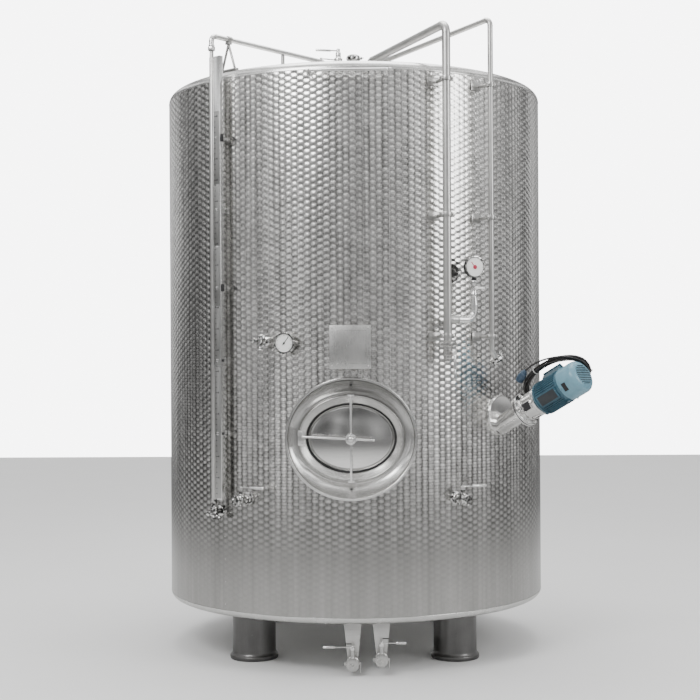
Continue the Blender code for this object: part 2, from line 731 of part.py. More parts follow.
def build_riser():
    start, end = pipe_over_roof(RISER, 0.200)
    base = Vector((start.x, start.y, RISER_LOW + GAP))
    drop = Vector((end.x, end.y, roof_height(0.200) + 0.004))
    pieces = [tube(bent_path([base, start, end, drop], 0.045), RISER["radius"], resolution=4)]
    for height in BRACKET_HEIGHTS:
        pieces += bracket(RISER, height)
    place = wall_frame(RISER["angle"], RISER["distance"], 0.0)
    low = RISER_LOW + GAP
    pieces.append(rod((0, 0, low), (0, 0, low + 0.010), 0.032, place, 24))
    tee_ends = (0, 0, BRANCH_HEIGHT), (TEE_REACH, 0, BRANCH_HEIGHT)
    pieces.append(rod(*tee_ends, RISER["radius"] - 0.001, place, 20))
    node("riser_pipe", fuse(*pieces), "polished_steel")

    gap_x = TEE_REACH + GAP
    corner = (BRANCH_REACH, 0, BRANCH_HEIGHT)
    path = bent_path([(gap_x, 0, BRANCH_HEIGHT), corner, (BRANCH_REACH, 0, BRANCH_HEIGHT + 0.070)], 0.040)
    radius = RISER["radius"] - 0.0015
    elbow = tube(path, radius, place, 4)
    z = BRANCH_HEIGHT + 0.068
    reducer_ends = (BRANCH_REACH, 0, z - 0.004), (BRANCH_REACH, 0, z + 0.040)
    reducer = rod(*reducer_ends, radius + 0.002, place, 20, 0.012)
    cock_low = z + 0.038
    cock_high = PRESSURE_GAUGE_HEIGHT - DIAL_RADIUS - 0.012
    cock = rod((BRANCH_REACH, 0, cock_low), (BRANCH_REACH, 0, cock_high), 0.015, place)
    stem_z = cock_low + 0.040
    stem = rod((BRANCH_REACH, 0, stem_z), (BRANCH_REACH, -0.022, stem_z), 0.007, place)
    node("gauge_branch", fuse(elbow, reducer, cock, stem), "polished_steel")

    tip = -0.022 - GAP
    hub = rod((BRANCH_REACH, tip, stem_z), (BRANCH_REACH, tip - 0.008, stem_z), 0.008, place)
    arm = block((BRANCH_REACH + 0.020, tip - 0.005, stem_z), (0.040, 0.004, 0.010), place)
    made = node("gauge_cock_lever", fuse(hub, arm), "satin_steel")
    centred_on(made, place @ Vector((BRANCH_REACH, tip, stem_z)))

    case_place = place @ Matrix.Translation((BRANCH_REACH, 0, PRESSURE_GAUGE_HEIGHT))
    profile = [
        (0.0, DIAL_DEPTH / 2),
        (DIAL_RADIUS - 0.003, DIAL_DEPTH / 2),
        (DIAL_RADIUS, DIAL_DEPTH / 2 - 0.003),
        (DIAL_RADIUS, -DIAL_DEPTH / 2 + 0.004),
        (DIAL_RADIUS - 0.004, -DIAL_DEPTH / 2),
        (0.0, -DIAL_DEPTH / 2),
    ]
    case = turned(profile, (0, 0, 0), (0, -1, 0), case_place)
    neck_low = cock_high + GAP - PRESSURE_GAUGE_HEIGHT
    stub = rod((0, 0, neck_low), (0, 0, -DIAL_RADIUS + 0.006), 0.008, case_place)
    node("pressure_gauge", fuse(case, stub), "dial_white")

    top = RISER_LOW
    profile = [(0.0, top), (0.032, top), (0.032, top - 0.010), (0.021, top - 0.014), (0.021, top - 0.066)]
    profile += [(0.017, top - 0.070), (0.017, top - 0.080), (0.0, top - 0.080)]
    body = turned(profile, (0, 0, 0), (0, 0, 1), place, 24)
    stem_z = top - 0.042
    stem = rod((0.012, 0, stem_z), (0.012, -0.034, stem_z), 0.010, place)
    node("riser_valve", fuse(body, stem), "polished_steel")
    tip = -0.034 - GAP
    hub = rod((0.012, tip, stem_z), (0.012, tip - 0.016, stem_z), 0.011, place)
    arm_y = tip - 0.010
    blade_size = (0.012, 0.004, RISER_LEVER_LENGTH * 0.6)
    blade = block((0.012, arm_y, stem_z - RISER_LEVER_LENGTH * 0.3), blade_size, place)
    grip_ends = (0.012, arm_y, stem_z - 0.075), (0.012, arm_y, stem_z - RISER_LEVER_LENGTH)
    made = node("riser_valve_lever", fuse(hub, blade, rod(*grip_ends, 0.006, place)), "polished_steel")
    centred_on(made, place @ Vector((0.012, tip, stem_z)))


def build_vent_pipe():
    start, end = pipe_over_roof(VENT, 0.140)
    base = Vector((start.x, start.y, VENT_LOW))
    drop = Vector((end.x, end.y, roof_height(0.140) + 0.004))
    place = wall_frame(VENT["angle"], VENT["distance"], 0.0)
    foot = place @ Vector((0.022, 0.0, VENT_LOW - 0.030))
    path = bent_path([foot, base, start, end, drop], 0.030)
    pieces = [tube(path, VENT["radius"], resolution=4)]
    for height in BRACKET_HEIGHTS:
        pieces += bracket(VENT, height)
    node("vent_pipe", fuse(*pieces), "polished_steel")

    across = Vector((0.022, 0.0, -0.030)).normalized()
    first = Vector((0.022, 0.0, VENT_LOW - 0.030)) + across * GAP
    profile = [(0.0, 0.026), (0.020, 0.024), (0.032, 0.016), (0.034, 0.012)]
    profile += [(0.034, 0.002), (0.030, 0.0), (0.0, 0.0)]
    cap = turned(profile, first, across, place, 24)
    screw_at = first + across * 0.008 + Vector((0.030, 0.0, 0.021))
    wing = block(screw_at + Vector((0.004, 0, 0.003)), (0.026, 0.010, 0.012), place)
    node("vent_pipe_cap", fuse(cap, wing), "polished_steel")


def build_overflow_pipe():
    end = pipe_over_roof(OVERFLOW, 0.230)[1]
    place = wall_frame(GAUGE_ANGLE, 0.0, 0.0)
    tube_y = -(CHANNEL_BACK + CHANNEL_DEPTH) + 0.0035
    low = GAUGE_HIGH + 0.030 + GAP
    base = place @ Vector((GAUGE_TUBE_OFFSET, tube_y, low))
    corner = Vector((base.x, base.y, OVERFLOW["high"]))
    drop = Vector((end.x, end.y, roof_height(0.230) + 0.004))
    pipe = tube(bent_path([base, corner, end, drop], 0.026), OVERFLOW["radius"], resolution=3)
    nut = rod((GAUGE_TUBE_OFFSET, tube_y, low), (GAUGE_TUBE_OFFSET, tube_y, low + 0.028), 0.017, place, 8)
    node("overflow_pipe", fuse(pipe, nut), "polished_steel")

    along = (end - corner).normalized()
    across = Vector((-along.y, along.x, 0.0)).normalized()
    grip = corner + along * 0.110
    roof_z = SHELL_HIGH - 0.003
    top = Vector((grip.x, grip.y, grip.z - OVERFLOW["radius"] - GAP))
    pieces = [block(top - Vector((0, 0, 0.006)), (0.030, 0.030, 0.012))]
    for side in (-1, 1):
        foot = grip + across * (0.047 * side)
        foot.z = roof_z + 0.009
        pieces.append(rod(top - Vector((0, 0, 0.008)), foot, 0.006, sides=10))
    turn = Matrix.Rotation(math.atan2(across.y, across.x), 4, "Z")
    pieces.append(block((grip.x, grip.y, roof_z + 0.016), (0.118, 0.020, 0.010), None, turn))
    node("pipe_trestle", fuse(*pieces), "satin_steel")

    post = corner + along * POST_ALONG
    distance = math.hypot(post.x, post.y) - POST_RADIUS
    foot_z = roof_height(distance) + GAP
    post_ends = (post.x, post.y, foot_z), (post.x, post.y, post.z - OVERFLOW["radius"] - GAP)
    node("pipe_post", rod(*post_ends, POST_RADIUS), "satin_steel")


def roof_height(distance):
    return SHELL_HIGH + (TANK_RADIUS - TOP_KNUCKLE - distance) * math.tan(ROOF_SLOPE)


def build_roof_fittings():
    profile = [(0.0, 3.085), (0.030, 3.083), (0.0355, 3.076), (0.0355, 3.056), (0.026, 3.052)]
    profile += [(0.026, roof_height(0.026) + 1.5 * GAP), (0.0, roof_height(0.0) + 1.5 * GAP)]
    node("roof_neck", turned(profile, (0, 0, 0), (0, 0, 1), steps=28), "polished_steel")
    x = -0.080
    base = roof_height(abs(x)) + 0.003
    profile = [(0.0, 3.100), (0.014, 3.100), (0.014, 3.070), (0.022, 3.066), (0.022, 3.046)]
    profile += [(0.015, 3.042), (0.015, base), (0.0, base)]
    body = turned(profile, (x, 0, 0), (0, 0, 1), None, 20)
    lever = rod((x, 0, 3.108), (-0.200, 0, 3.114), 0.007)
    post = rod((x, 0, 3.092), (x, 0, 3.116), 0.010)
    arm = rod((x, 0, 3.058), (-0.172, 0, 3.068), 0.004, sides=8)
    node("relief_valve", fuse(body, post, lever, arm), "polished_steel")


def build_drain(name, line):
    """A line from under the floor's middle to a valve at the front, with its hanger plate and lever."""
    x, z = line["x"], line["z"]
    back = -DRAIN_BACK[name]
    front = -DRAIN_FRONT
    corners = [(x, front + 0.050, z), (x, back, z), (x, back, SHELL_LOW - GAP)]
    pieces = [tube(bent_path(corners, 0.050), DRAIN_RADIUS, resolution=4)]
    profile = [
        (0.0, 0.072),
        (0.014, 0.072),
        (DRAIN_CLAMP_RADIUS - 0.003, 0.070),
        (DRAIN_CLAMP_RADIUS, 0.064),
        (DRAIN_CLAMP_RADIUS, 0.056),
        (0.026, 0.052),
        (0.026, 0.020),
        (DRAIN_CLAMP_RADIUS, 0.016),
        (DRAIN_CLAMP_RADIUS, 0.004),
        (0.026, 0.0),
        (0.0, 0.0),
    ]
    pieces.append(turned(profile, (x, front + 0.072, z), (0, -1, 0), None, 24))
    stem_y = front + 0.036
    stem_top = z + 0.062
    pieces.append(rod((x, stem_y, z), (x, stem_y, stem_top), 0.010))
    plate_y = front + 0.085
    high = SHELL_LOW - GAP
    low = z - 0.004
    outline = [(-0.0425, high), (0.0425, high), (0.023, low), (-0.023, low)]
    lean = Matrix.Translation((x, plate_y, 0.0)) @ Matrix.Rotation(math.pi / 2, 4, "X")
    pieces.append(flat(outline, -0.003, 0.003, lean))
    pieces.append(block((x + 0.028, front + 0.034, z - 0.006), (0.014, 0.012, 0.040)))
    node(name + "_drain", fuse(*pieces), "polished_steel")

    pivot = Vector((x, stem_y, stem_top + GAP))
    side = line["side"]
    tip = pivot + Vector((side * line["lever"], 0, 0.014))
    grip = pivot + Vector((side * line["lever"] * 0.55, 0, 0.014))
    hub = rod(pivot, pivot + Vector((0, 0, 0.020)), 0.011)
    middle = pivot + Vector((side * line["lever"] * 0.3, 0, 0.014))
    blade = block(middle, (line["lever"] * 0.6, 0.012, 0.004))
    made = node(name + "_drain_lever", fuse(hub, blade, rod(grip, tip, 0.006)), "polished_steel")
    centred_on(made, pivot)


def mixer_frame():
    """Origin where the shaft line leaves the wall; z along the shaft line, x to the right, y upwards."""
    place = wall_frame(MIXER_ANGLE, TANK_RADIUS, MIXER_HEIGHT)
    return place @ Matrix.Rotation(math.pi / 2 - MIXER_TILT, 4, "X")


def build_mixer():
    place = mixer_frame()
    wall = wall_frame(MIXER_ANGLE, 0.0, MIXER_HEIGHT + MIXER_PAD_LIFT)
    pad = rod((0, -TANK_RADIUS + 0.020, 0), (0, -TANK_RADIUS - 0.012, 0), MIXER_PAD_RADIUS, wall, 32)
    at = MIXER_FLANGE_AT
    profile = [
        (0.0, LANTERN_END - GAP),
        (0.070, LANTERN_END - GAP),
        (0.070, LANTERN_END - 0.012),
        (0.058, LANTERN_END - 0.016),
        (0.058, at + 0.020),
        (MIXER_FLANGE_RADIUS, at + 0.014),
        (MIXER_FLANGE_RADIUS, at - 0.010),
        (0.044, at - 0.014),
        (0.044, 0.030),
        (0.0, 0.030),
    ]
    body = turned(profile, (0, 0, 0), (0, 0, 1), place, 28)
    neck = rod((0, 0, -0.060), (0, 0, 0.035), 0.044, place, 24)
    inside = rod((0, 0, -0.30), (0, 0, 0.30), TANK_RADIUS + GAP, wall_frame(0.0, 0.0, MIXER_HEIGHT), 96)
    node("mixer_lantern", cut(fuse(body, pad, neck), inside), "polished_steel")

    start = LANTERN_END
    profile = [
        (0.0, COWL_START - GAP),
        (MOTOR_RADIUS - 0.006, COWL_START - GAP),
        (MOTOR_RADIUS - 0.004, COWL_START - 0.012),
        (MOTOR_RADIUS, COWL_START - 0.016),
        (MOTOR_RADIUS, start + 0.020),
        (MOTOR_RADIUS - 0.006, start + 0.012),
        (0.066, start),
        (0.0, start),
    ]
    barrel = turned(profile, (0, 0, 0), (0, 0, 1), place, 28)
    box = block((0, 0, 0.064 + BOX_SIZE[2] / 2), (BOX_SIZE[1], BOX_SIZE[0], BOX_SIZE[2]), box_frame(place))
    gland_ends = (0, GLAND_TIP - 0.027, GLAND_LIFT), (0, GLAND_TIP, GLAND_LIFT)
    gland = rod(*gland_ends, 0.011, box_frame(place))
    node("motor", fuse(barrel, box, gland), "motor_blue")

    profile = [
        (0.0, COWL_END),
        (COWL_RADIUS - 0.026, COWL_END),
        (COWL_RADIUS - 0.010, COWL_END - 0.008),
        (COWL_RADIUS, COWL_END - 0.026),
        (COWL_RADIUS, COWL_START),
        (0.0, COWL_START),
    ]
    node("motor_cowl", turned(profile, (0, 0, 0), (0, 0, 1), place, 28), "cowl_blue")


def box_frame(place):
    """On the motor's upper far side: z outwards through the terminal box, y along the shaft line."""
    lean = Matrix.Rotation(math.radians(-45.0), 4, "Z")
    along = Matrix.Translation((0, 0, BOX_AT))
    return place @ along @ lean @ Matrix.Rotation(-math.pi / 2, 4, "X")


def coil_point(turn):
    around = 2 * math.pi * turn
    out = MOTOR_RADIUS + COIL_TUBE_RADIUS + GAP
    return Vector((COIL_HALF_WIDTH * math.sin(around), COIL_HALF_LENGTH * math.cos(around), out))


def build_cable():
    frame = box_frame(mixer_frame())
    points = [coil_point(i / COIL_STEPS) for i in range(COIL_STEPS)]
    node("cable_coil", tube(points, COIL_TUBE_RADIUS, frame, 2, True), "black_cable")
    node("cable_lead", tube(LEAD_ROUTE, CABLE_RADIUS, frame, 2), "black_cable")

    beside = coil_point(PLUG_TURN)
    along = (coil_point(PLUG_TURN + 0.01) - coil_point(PLUG_TURN - 0.01)).normalized()
    outwards = Vector((along.y, -along.x, 0.0))
    if outwards.dot(beside) < 0:
        outwards = -outwards
    middle = beside + outwards * (COIL_TUBE_RADIUS + PLUG_RADIUS + GAP)
    profile = [
        (0.0, PLUG_LENGTH / 2),
        (PLUG_RADIUS - 0.003, PLUG_LENGTH / 2),
        (PLUG_RADIUS, PLUG_LENGTH / 2 - 0.004),
        (PLUG_RADIUS, 0.0),
        (PLUG_RADIUS - 0.004, -PLUG_LENGTH / 4),
        (0.009, -PLUG_LENGTH / 2),
        (0.0, -PLUG_LENGTH / 2),
    ]
    node("cable_plug", turned(profile, middle, along, frame, 20), "plug_blue")


def build_all():
    build_walls()
    build_ends()
    build_legs()
    build_manway()
    build_front_fittings()
    build_level_gauge()
    build_side_outlet("left", -OUTLET_ANGLE)
    build_side_outlet("right", OUTLET_ANGLE)
    build_riser()
    build_vent_pipe()
    build_overflow_pipe()
    build_roof_fittings()
    build_drain("left", DRAIN_LEFT)
    build_drain("right", DRAIN_RIGHT)
    build_mixer()
    build_cable()


build_all()
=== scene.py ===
# Looks of an upright stainless storage tank. Metres, +Z up, the tank's axis is Z, the manway faces -Y.
import math

import bmesh
import bpy
from mathutils import Matrix, Vector


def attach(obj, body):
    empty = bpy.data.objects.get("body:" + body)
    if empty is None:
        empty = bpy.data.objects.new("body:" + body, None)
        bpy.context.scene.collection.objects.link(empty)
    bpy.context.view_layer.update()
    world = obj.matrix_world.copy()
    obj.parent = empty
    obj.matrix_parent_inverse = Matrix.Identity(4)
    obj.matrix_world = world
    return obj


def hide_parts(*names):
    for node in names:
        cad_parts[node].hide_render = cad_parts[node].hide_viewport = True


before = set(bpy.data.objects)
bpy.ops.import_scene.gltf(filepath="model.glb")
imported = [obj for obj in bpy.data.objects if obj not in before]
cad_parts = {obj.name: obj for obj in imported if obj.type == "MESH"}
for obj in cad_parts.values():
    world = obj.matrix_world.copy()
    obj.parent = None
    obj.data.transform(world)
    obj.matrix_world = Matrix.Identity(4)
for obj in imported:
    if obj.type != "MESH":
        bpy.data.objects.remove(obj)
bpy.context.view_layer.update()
print("frame loaded")

# The main sizes, as the frame holds them
tank = {
    "radius": 0.970,
    "low": 0.249,             # underside of the floor
    "high": 2.838,            # where the roof's cone starts
    "topKnuckle": 0.042,
    "bottomKnuckle": 0.030,
    "roofSlope": 8.0,         # degrees
}
seat = 0.0003                 # gap between pieces that touch
nearby = 0.000005             # points closer than this are one


# Camera

cameraView = {
    "distance": 6.98,         # from the tank's axis
    "height": 1.434,
    "azimuth": 1.24,          # degrees to the right of the front
    "roll": -0.33,            # degrees
    "lens": 67.63,
    "shift": (-0.0073, 0.0229),
}


def makeCamera(view):
    turn = Matrix.Rotation(math.radians(view["azimuth"]), 4, "Z")
    stand = Matrix.Translation((0.0, -view["distance"], view["height"]))
    tilt = Matrix.Rotation(math.pi / 2, 4, "X")
    roll = Matrix.Rotation(math.radians(view["roll"]), 4, "Z")
    data = bpy.data.cameras.new("camera")
    data.lens = view["lens"]
    data.sensor_width = 36.0
    data.shift_x, data.shift_y = view["shift"]
    camera = bpy.data.objects.new("camera", data)
    bpy.context.scene.collection.objects.link(camera)
    camera.matrix_world = turn @ stand @ tilt @ roll
    bpy.context.scene.camera = camera


makeCamera(cameraView)
print("camera placed")


# Places on the tank

def wallFrame(angle, distance, height):
    # x to the right seen from outside, y inwards, z up
    turn = Matrix.Rotation(math.radians(angle), 4, "Z")
    return turn @ Matrix.Translation((0.0, -distance, height))


def outward(place):
    # turns a frame on the wall so that z points away from the tank
    return place @ Matrix.Rotation(math.pi / 2, 4, "X")


def turnTo(direction):
    return Vector(direction).to_track_quat("Z", "Y").to_matrix().to_4x4()


def roofHeight(distance):
    edge = tank["radius"] - tank["topKnuckle"]
    return tank["high"] + (edge - distance) * math.tan(math.radians(tank["roofSlope"]))


# Mesh making: each of these adds one closed shape to a bmesh

def joinInto(work, part, place=None):
    bmesh.ops.remove_doubles(part, verts=part.verts, dist=nearby)
    bmesh.ops.recalc_face_normals(part, faces=part.faces)
    if place is not None:
        bmesh.ops.transform(part, matrix=place, verts=part.verts)
    mesh = bpy.data.meshes.new("joined")
    part.to_mesh(mesh)
    part.free()
    work.from_mesh(mesh)
    bpy.data.meshes.remove(mesh)


def addTurned(work, profile, place=None, steps=32):
    # the profile is (radius, along), spun round z
    part = bmesh.new()
    points = [part.verts.new((radius, 0.0, along)) for radius, along in profile]
    edges = [part.edges.new(pair) for pair in zip(points, points[1:])]
    bmesh.ops.spin(
        part, geom=points + edges, cent=(0, 0, 0), axis=(0, 0, 1), angle=2 * math.pi, steps=steps, use_merge=True
    )
    joinInto(work, part, place)


def softEdges(part, width, segments=2):
    bmesh.ops.bevel(
        part, geom=part.edges[:], offset=width, segments=segments, profile=0.5, affect="EDGES", material=-1
    )


def addBlock(work, centre, size, place=None, turn=None, edge=0.001):
    part = bmesh.new()
    bmesh.ops.create_cube(part, size=1.0)
    matrix = Matrix.Translation(centre) @ (turn or Matrix.Identity(4)) @ Matrix.Diagonal((*size, 1.0))
    bmesh.ops.transform(part, matrix=matrix, verts=part.verts)
    softEdges(part, min(edge, min(size) * 0.3))
    joinInto(work, part, place)


def addRod(work, start, end, radius, place=None, sides=24, endRadius=None, edge=0.0012):
    start, end = Vector(start), Vector(end)
    part = bmesh.new()
    matrix = Matrix.Translation((start + end) / 2) @ turnTo(end - start)
    top = radius if endRadius is None else endRadius
    length = (end - start).length
    bmesh.ops.create_cone(
        part, cap_ends=True, segments=sides, radius1=radius, radius2=top, depth=length, matrix=matrix
    )
    caps = [face for face in part.faces if len(face.verts) == sides]
    rims = list({rim for face in caps for rim in face.edges})
    width = min(edge, 0.3 * min(radius, top), 0.3 * length)
    bmesh.ops.bevel(part, geom=rims, offset=width, segments=2, profile=0.5, affect="EDGES", material=-1)
    joinInto(work, part, place)


def addRing(work, place, radius, thick, steps=40, sides=12):
    # a round bead, lying across z
    part = bmesh.new()
    made = bmesh.ops.create_circle(part, segments=sides, radius=thick)
    stand = Matrix.Translation((radius, 0.0, 0.0)) @ Matrix.Rotation(math.pi / 2, 4, "X")
    bmesh.ops.transform(part, matrix=stand, verts=made["verts"])
    bmesh.ops.spin(
        part, geom=part.verts[:] + part.edges[:], cent=(0, 0, 0), axis=(0, 0, 1), angle=2 * math.pi,
        steps=steps, use_merge=True,
    )
    joinInto(work, part, place)


def addBall(work, centre, radius, place=None, squash=1.0):
    part = bmesh.new()
    bmesh.ops.create_uvsphere(part, u_segments=16, v_segments=10, radius=radius)
    matrix = Matrix.Translation(centre) @ Matrix.Diagonal((1.0, 1.0, squash, 1.0))
    bmesh.ops.transform(part, matrix=matrix, verts=part.verts)
    joinInto(work, part, place)


def addTube(work, points, radius, place=None, sides=10, cyclic=False):
    data = bpy.data.curves.new("tube", "CURVE")
    data.dimensions = "3D"
    data.bevel_depth = radius
    data.bevel_resolution = sides // 2 - 2
    data.use_fill_caps = not cyclic
    spline = data.splines.new("POLY")
    spline.points.add(len(points) - 1)
    for point, corner in zip(spline.points, points):
        point.co = (*corner, 1.0)
    spline.use_cyclic_u = cyclic
    made = bpy.data.objects.new("tube", data)
    bpy.context.scene.collection.objects.link(made)
    bpy.context.view_layer.update()
    mesh = bpy.data.meshes.new_from_object(made.evaluated_get(bpy.context.evaluated_depsgraph_get()))
    part = bmesh.new()
    part.from_mesh(mesh)
    bpy.data.objects.remove(made, do_unlink=True)
    bpy.data.meshes.remove(mesh)
    joinInto(work, part, place)


def roundedPath(corners, bend, steps=10):
    # the corners' path with an arc of this radius at each inner corner
    corners = [Vector(corner) for corner in corners]
    path = [corners[0]]
    for before, corner, after in zip(corners, corners[1:], corners[2:]):
        back = (before - corner).normalized()
        ahead = (after - corner).normalized()
        half = back.angle(ahead) / 2
        centre = corner + (back + ahead).normalized() * (bend / math.sin(half))
        first = (corner + back * (bend / math.tan(half)) - centre) / bend
        sweep = math.pi - 2 * half
        for i in range(steps + 1):
            a = sweep * i / steps
            path.append(centre + (first * math.cos(a) - back * math.sin(a)) * bend)
    return path + [corners[-1]]


def addBolt(work, place, across=0.013, high=0.0065, washer=True, nut=False):
    # a hexagon head that stands along z on its washer
    base = 0.0
    if washer:
        addRod(work, (0, 0, 0), (0, 0, 0.0014), across * 0.72, place, 20, edge=0.0004)
        base = 0.0012
    addRod(work, (0, 0, base), (0, 0, base + high), across * 0.577, place, 6, edge=0.0007)
    if nut:
        addRod(work, (0, 0, base + high - 0.0005), (0, 0, base + high + 0.004), across * 0.3, place, 12, edge=0.0006)


def addFlange(work, place, radius, thick, pipe, bolts=0):
    # a round plate with a weld bead round its pipe, and bolts
    addTurned(work, [(0, 0), (radius - 0.001, 0), (radius, 0.001), (radius, thick - 0.001),
                     (radius - 0.001, thick), (pipe + 0.003, thick), (pipe, thick + 0.003), (0, thick + 0.003)],
              place, 40)
    for i in range(bolts):
        spot = Matrix.Rotation(2 * math.pi * i / bolts, 4, "Z")
        middle = (radius + pipe) / 2
        addBolt(work, place @ spot @ Matrix.Translation((middle, 0, thick)), 0.010, 0.005)


def addWingNut(work, place, reach=0.020):
    # the boss stands along z and the wings lie along x
    addTurned(work, [(0, 0), (0.0075, 0), (0.0065, 0.011), (0.0045, 0.012), (0, 0.012)], place, 16)
    for side in (-1, 1):
        lean = Matrix.Rotation(math.radians(-28.0 * side), 4, "Y")
        addBlock(work, (side * reach * 0.55, 0, 0.008), (reach, 0.0042, 0.010), place, lean, edge=0.0018)


def addLever(work, place, length, grip, base=0.0):
    # the hub stands along z, the blade and its rounded grip lie along x
    addTurned(work, [(0, base), (0.012, base), (0.012, base + 0.012), (0.009, base + 0.014), (0, base + 0.014)],
              place, 20)
    addBolt(work, place @ Matrix.Translation((0, 0, base + 0.0155)), 0.011, 0.005, washer=False)
    start = length - grip
    addBlock(work, (start * 0.5 + 0.004, 0, base + 0.014), (start + 0.010, 0.0125, 0.0034), place)
    addRod(work, (start, 0, base + 0.014), (length, 0, base + 0.014), 0.0066, place, 16, edge=0.0028)


def addOvals(work, sections, place, closedRing=False, filled=False, segments=128):
    # a surface through ovals in turn, each given as half width, half height, distance from the tank's axis and
    # how far it follows the round wall (0 flat, 1 fully; between them a fifth value is the flat distance)
    sections = list(sections)
    if filled:
        sections = [(0, 0, *sections[0][2:])] + sections + [(0, 0, *sections[-1][2:])]
    part = bmesh.new()
    points = [part.verts.new((1.0, 0.0, i)) for i in range(len(sections))]
    edges = [part.edges.new(pair) for pair in zip(points, points[1:])]
    if closedRing:
        edges.append(part.edges.new((points[-1], points[0])))
    bmesh.ops.spin(
        part, geom=points + edges, cent=(0, 0, 0), axis=(0, 0, 1), angle=2 * math.pi, steps=segments, use_merge=True
    )
    for vert in part.verts:
        width, height, distance, follow, *flat = sections[round(vert.co.z)]
        x, z = vert.co.x * width, vert.co.y * height
        y = follow * math.sqrt(distance**2 - x**2) + (1 - follow) * (flat[0] if flat else distance)
        vert.co = (x, -y, z)
    joinInto(work, part, place)


def finishPiece(name, work, material, body="tank", replaced=(), smooth=35.0):
    mesh = bpy.data.meshes.new(name)
    work.to_mesh(mesh)
    work.free()
    mesh.materials.append(material)
    mesh.shade_smooth()
    mesh.set_sharp_from_angle(angle=math.radians(smooth))
    piece = bpy.data.objects.new(name, mesh)
    bpy.context.scene.collection.objects.link(piece)
    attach(piece, body)
    if replaced:
        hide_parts(*replaced)
    return piece


# Materials: shared effects are node groups, and each finish gives them its own values

def newGroup(name, inputs, outputs):
    group = bpy.data.node_groups.new(name, "ShaderNodeTree")
    for label, kind, value in inputs:
        socket = group.interface.new_socket(label, in_out="INPUT", socket_type=kind)
        if value is not None:
            socket.default_value = value
    for label, kind in outputs:
        group.interface.new_socket(label, in_out="OUTPUT", socket_type=kind)
    return group, group.nodes.new("NodeGroupInput"), group.nodes.new("NodeGroupOutput")


def put(tree, socket, value):
    if value is None:
        return
    if isinstance(value, bpy.types.NodeSocket):
        tree.links.new(value, socket)
    else:
        socket.default_value = value


def doMath(tree, operation, first, second=None, third=None):
    made = tree.nodes.new("ShaderNodeMath")
    made.operation = operation
    for socket, value in zip(made.inputs, (first, second, third)):
        put(tree, socket, value)
    return made.outputs[0]


def mixColour(tree, share, first, second, blend="MIX"):
    made = tree.nodes.new("ShaderNodeMix")
    made.data_type = "RGBA"
    made.blend_type = blend
    put(tree, made.inputs["Factor"], share)
    put(tree, made.inputs[6], first)
    put(tree, made.inputs[7], second)
    return made.outputs[2]


def spread(tree, value, low, high, outLow=0.0, outHigh=1.0):
    made = tree.nodes.new("ShaderNodeMapRange")
    for socket, item in zip(made.inputs, (value, low, high, outLow, outHigh)):
        put(tree, socket, item)
    return made.outputs[0]


def noise(tree, vector, scale, detail=3.0, rough=0.55):
    made = tree.nodes.new("ShaderNodeTexNoise")
    put(tree, made.inputs["Vector"], vector)
    put(tree, made.inputs["Scale"], scale)
    put(tree, made.inputs["Detail"], detail)
    put(tree, made.inputs["Roughness"], rough)
    return made.outputs["Fac"]


def stretched(tree, vector, scale, turn=(0.0, 0.0, 0.0)):
    made = tree.nodes.new("ShaderNodeMapping")
    put(tree, made.inputs["Vector"], vector)
    made.inputs["Rotation"].default_value = turn
    made.inputs["Scale"].default_value = scale
    return made.outputs[0]


def wrapGroup():
    # unrolls the tank's wall: x is metres round it, y is metres up
    group, given, result = newGroup("unrolledWall", [("Vector", "NodeSocketVector", None)],
                                    [("Around", "NodeSocketFloat"), ("Up", "NodeSocketFloat"),
                                     ("Vector", "NodeSocketVector")])
    parts = group.nodes.new("ShaderNodeSeparateXYZ")
    group.links.new(given.outputs[0], parts.inputs[0])
    back = doMath(group, "MULTIPLY", parts.outputs[1], -1.0)
    angle = doMath(group, "ARCTAN2", parts.outputs[0], back)
    around = doMath(group, "MULTIPLY", angle, tank["radius"])
    flat = group.nodes.new("ShaderNodeCombineXYZ")
    group.links.new(around, flat.inputs[0])
    group.links.new(parts.outputs[2], flat.inputs[1])
    for i, value in enumerate((around, parts.outputs[2], flat.outputs[0])):
        group.links.new(value, result.inputs[i])
    return group


marbling = {
    "acrossPitch": 0.0302,    # between columns of polished spots
    "upPitch": 0.0293,        # between spots in a column; the next column is half a spot lower
    "spotRadius": 0.0180,
    # the seam lines are painted highlights
    "seams": 0.18,            # share of the columns with a bright line along their edge
}


def spotColumn(tree, across, column, up):
    # how far this point is above the nearest spot's middle in a column, and its distance from there, squared
    pitch = marbling["upPitch"]
    parity = doMath(tree, "MULTIPLY", doMath(tree, "PINGPONG", column, 1.0), 0.5)
    rows = doMath(tree, "ADD", doMath(tree, "DIVIDE", up, pitch), parity)
    above = doMath(tree, "FRACT", doMath(tree, "ADD", rows, 0.5))
    offset = doMath(tree, "MULTIPLY", doMath(tree, "SUBTRACT", above, 0.5), pitch)
    return offset, doMath(tree, "MULTIPLY_ADD", offset, offset, doMath(tree, "MULTIPLY", across, across))


